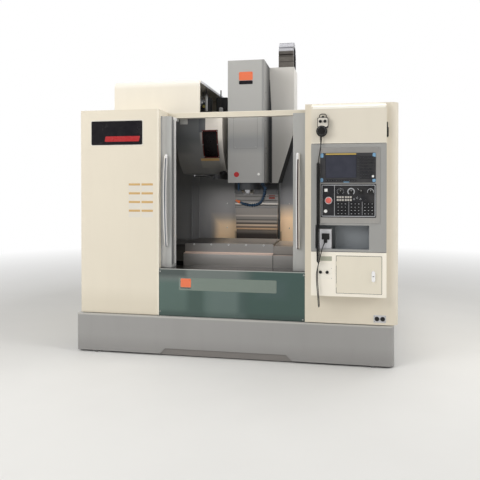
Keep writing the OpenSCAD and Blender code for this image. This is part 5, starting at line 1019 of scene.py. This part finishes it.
with newPiece("airPlate", "machine", "stainless", [dataWhite, blackKnob]) as sheet:
    addPlate(sheet, 1110, 1202, 343, 399, 6, 4.4, 3)
    port = [(17, 4.4), (17, 1.5), (14.5, 0), (14.5, -4.4), (13, -5.4), (7.4, -5.4), (7, -4.2), (0.5, -4.2)]
    for x in (1135, 1177):
        addTurned(sheet, (x, 371), port, "y", 28, 1)

# pocket: divider, data unit's plug and face
with newPiece("pocketParts", "machine", "panel_plastic", [greyInner, dataWhite]) as sheet:
    addBox(sheet, (829, -118, 906.4), (833, -36, 1081.6), 0.8)
    addPlate(sheet, 693, 797, 910, 1048, -108, -109.4, 5, mat=1)
with newPiece("dataPlug", "machine", "black_plastic", blackKnob) as sheet:
    addBox(sheet, (728, -119, 974), (784, -109.4, 1020), 4.0)
    addBox(sheet, (742, -117, 950), (768, -109.4, 976), 3.0)

# handset: pale face, bail and grommet
with newPiece("handsetFace", "machine", "panel_plastic", signPale) as sheet:
    addPlate(sheet, 700, 772, 1806, 1872, -160.3, -161.2, 11, 0.4)
handset = {"bail": [(712, -140, 1872), (711, -141, 1888), (718, -142, 1899), (736, -142, 1902),
                    (754, -142, 1899), (761, -141, 1888), (760, -140, 1872)],
           "grommet": [(7, 1716), (7.4, 1712), (6, 1706), (5.6, 1702), (6, 1698), (5, 1692), (4.4, 1684),
                       (3.4, 1678)]}
with newPiece("handsetBail", "machine", "black_plastic", blackKnob, smooth=True) as sheet:
    addTube(sheet, smoothRoute(handset["bail"], 6), 3.2)
with newPiece("handsetGrommet", "machine", "black_rubber", rubber, smooth=True) as sheet:
    addTurned(sheet, (722, -144), handset["grommet"], "z", 16)
with newPiece("dialMarks", "dial_unit", "panel_plastic", lineInk) as dialMarks:
    for k in range(50):
        t = 2 * math.pi * k / 50
        ends = ((29.5 if k % 5 else 27.5, -178.7), (32.0, -178.3))
        addTube(dialMarks, [(728 + r * math.cos(t), y, 1775 + r * math.sin(t)) for r, y in ends], 0.35, 5)
print("console dressed")

# floor, light and sky
studio = {"floor": 14.0, "skyLight": 0.52, "mirrorDark": 0.42,
          "frontBox": ((-3.2, -5.0, 3.6), 135, (3.0, 2.4)), "topBox": ((1.4, -0.4, 4.8), 70, (2.4, 1.8)),
          "rightBox": ((4.6, -2.4, 2.6), 50, (2.0, 2.4)),
          "workBox": ((0.014, 0.0, 1.30), 3.2, (0.9, 0.2), (0.014, 0.13, 0.85), (1.0, 0.95, 0.9))}
ground = bmesh.new()
bmesh.ops.create_grid(ground, x_segments=8, y_segments=8, size=studio["floor"])
floorData = bpy.data.meshes.new("floorPlane")
ground.to_mesh(floorData)
ground.free()
addObject("floorPlane", floorData)
floorMat, w, shader = startMaterial("paleFloor")
concrete = w.mix(w.noise(w.place(), 2.0, 3), (0.78, 0.78, 0.77, 1), (0.82, 0.82, 0.81, 1))
w.feed(shader.inputs["Base Color"], concrete)
shader.inputs["Roughness"].default_value = 0.75
distance = w.add("ShaderNodeVectorMath", {0: w.place()}, operation="LENGTH").outputs["Value"]
rays = w.add("ShaderNodeLightPath").outputs
seen = w.math("MAXIMUM", rays["Is Camera Ray"], rays["Is Glossy Ray"])
fade = w.math("MULTIPLY", w.remap(distance, 3.0, 8.0), seen)
glow = w.make("ShaderNodeEmission", {"Color": (1, 1, 1, 1), "Strength": 1.0})
joined = w.make("ShaderNodeMixShader", {0: fade, 1: shader.outputs[0], 2: glow})
w.feed(next(n for n in w.tree.nodes if n.bl_idname == "ShaderNodeOutputMaterial").inputs[0], joined)
floorData.materials.append(floorMat)

world = bpy.data.worlds.new("studio")
bpy.context.scene.world = world
world.use_nodes = True
world.node_tree.nodes.clear()
w = Wiring(world.node_tree)
rays = w.add("ShaderNodeLightPath").outputs
aim = w.add("ShaderNodeSeparateXYZ", {0: w.add("ShaderNodeTexCoord").outputs["Generated"]}).outputs
glance = w.remap(aim[1], -0.75, 0.1, studio["mirrorDark"], 1.0)
glance = w.math("ADD", glance, w.remap(aim[2], 0.15, 0.7, 0.0, 0.6), clamp=True)
dim = w.make("ShaderNodeBackground", {"Color": (1.0, 0.99, 0.97, 1), "Strength": studio["skyLight"]})
mirrored = w.make("ShaderNodeBackground", {"Color": (1, 1, 1, 1), "Strength": glance})
white = w.make("ShaderNodeBackground", {"Color": (1, 1, 1, 1), "Strength": 1.0})
plain = w.math("MAXIMUM", rays["Is Camera Ray"], rays["Is Transmission Ray"])
first = w.make("ShaderNodeMixShader", {0: rays["Is Glossy Ray"], 1: dim, 2: mirrored})
w.add("ShaderNodeOutputWorld", {"Surface": w.make("ShaderNodeMixShader", {0: plain, 1: first, 2: white})})


def softbox(name, place, power, size, aim=(0, 0, 1.1), tint=(1.0, 0.985, 0.96)):
    lamp = bpy.data.lights.new(name, "AREA")
    lamp.energy, lamp.shape, lamp.size, lamp.size_y = power, "RECTANGLE", size[0], size[1]
    lamp.color = tint
    holder = addObject(name, lamp)
    holder.location = place
    holder.rotation_euler = (Vector(aim) - Vector(place)).to_track_quat("-Z", "Y").to_euler()
    holder.visible_glossy = holder.visible_camera = False


for name in ("frontBox", "topBox", "rightBox", "workBox"):
    softbox(name, *studio[name])
print("studio lit")

bpy.context.scene.view_settings.view_transform = "Standard"
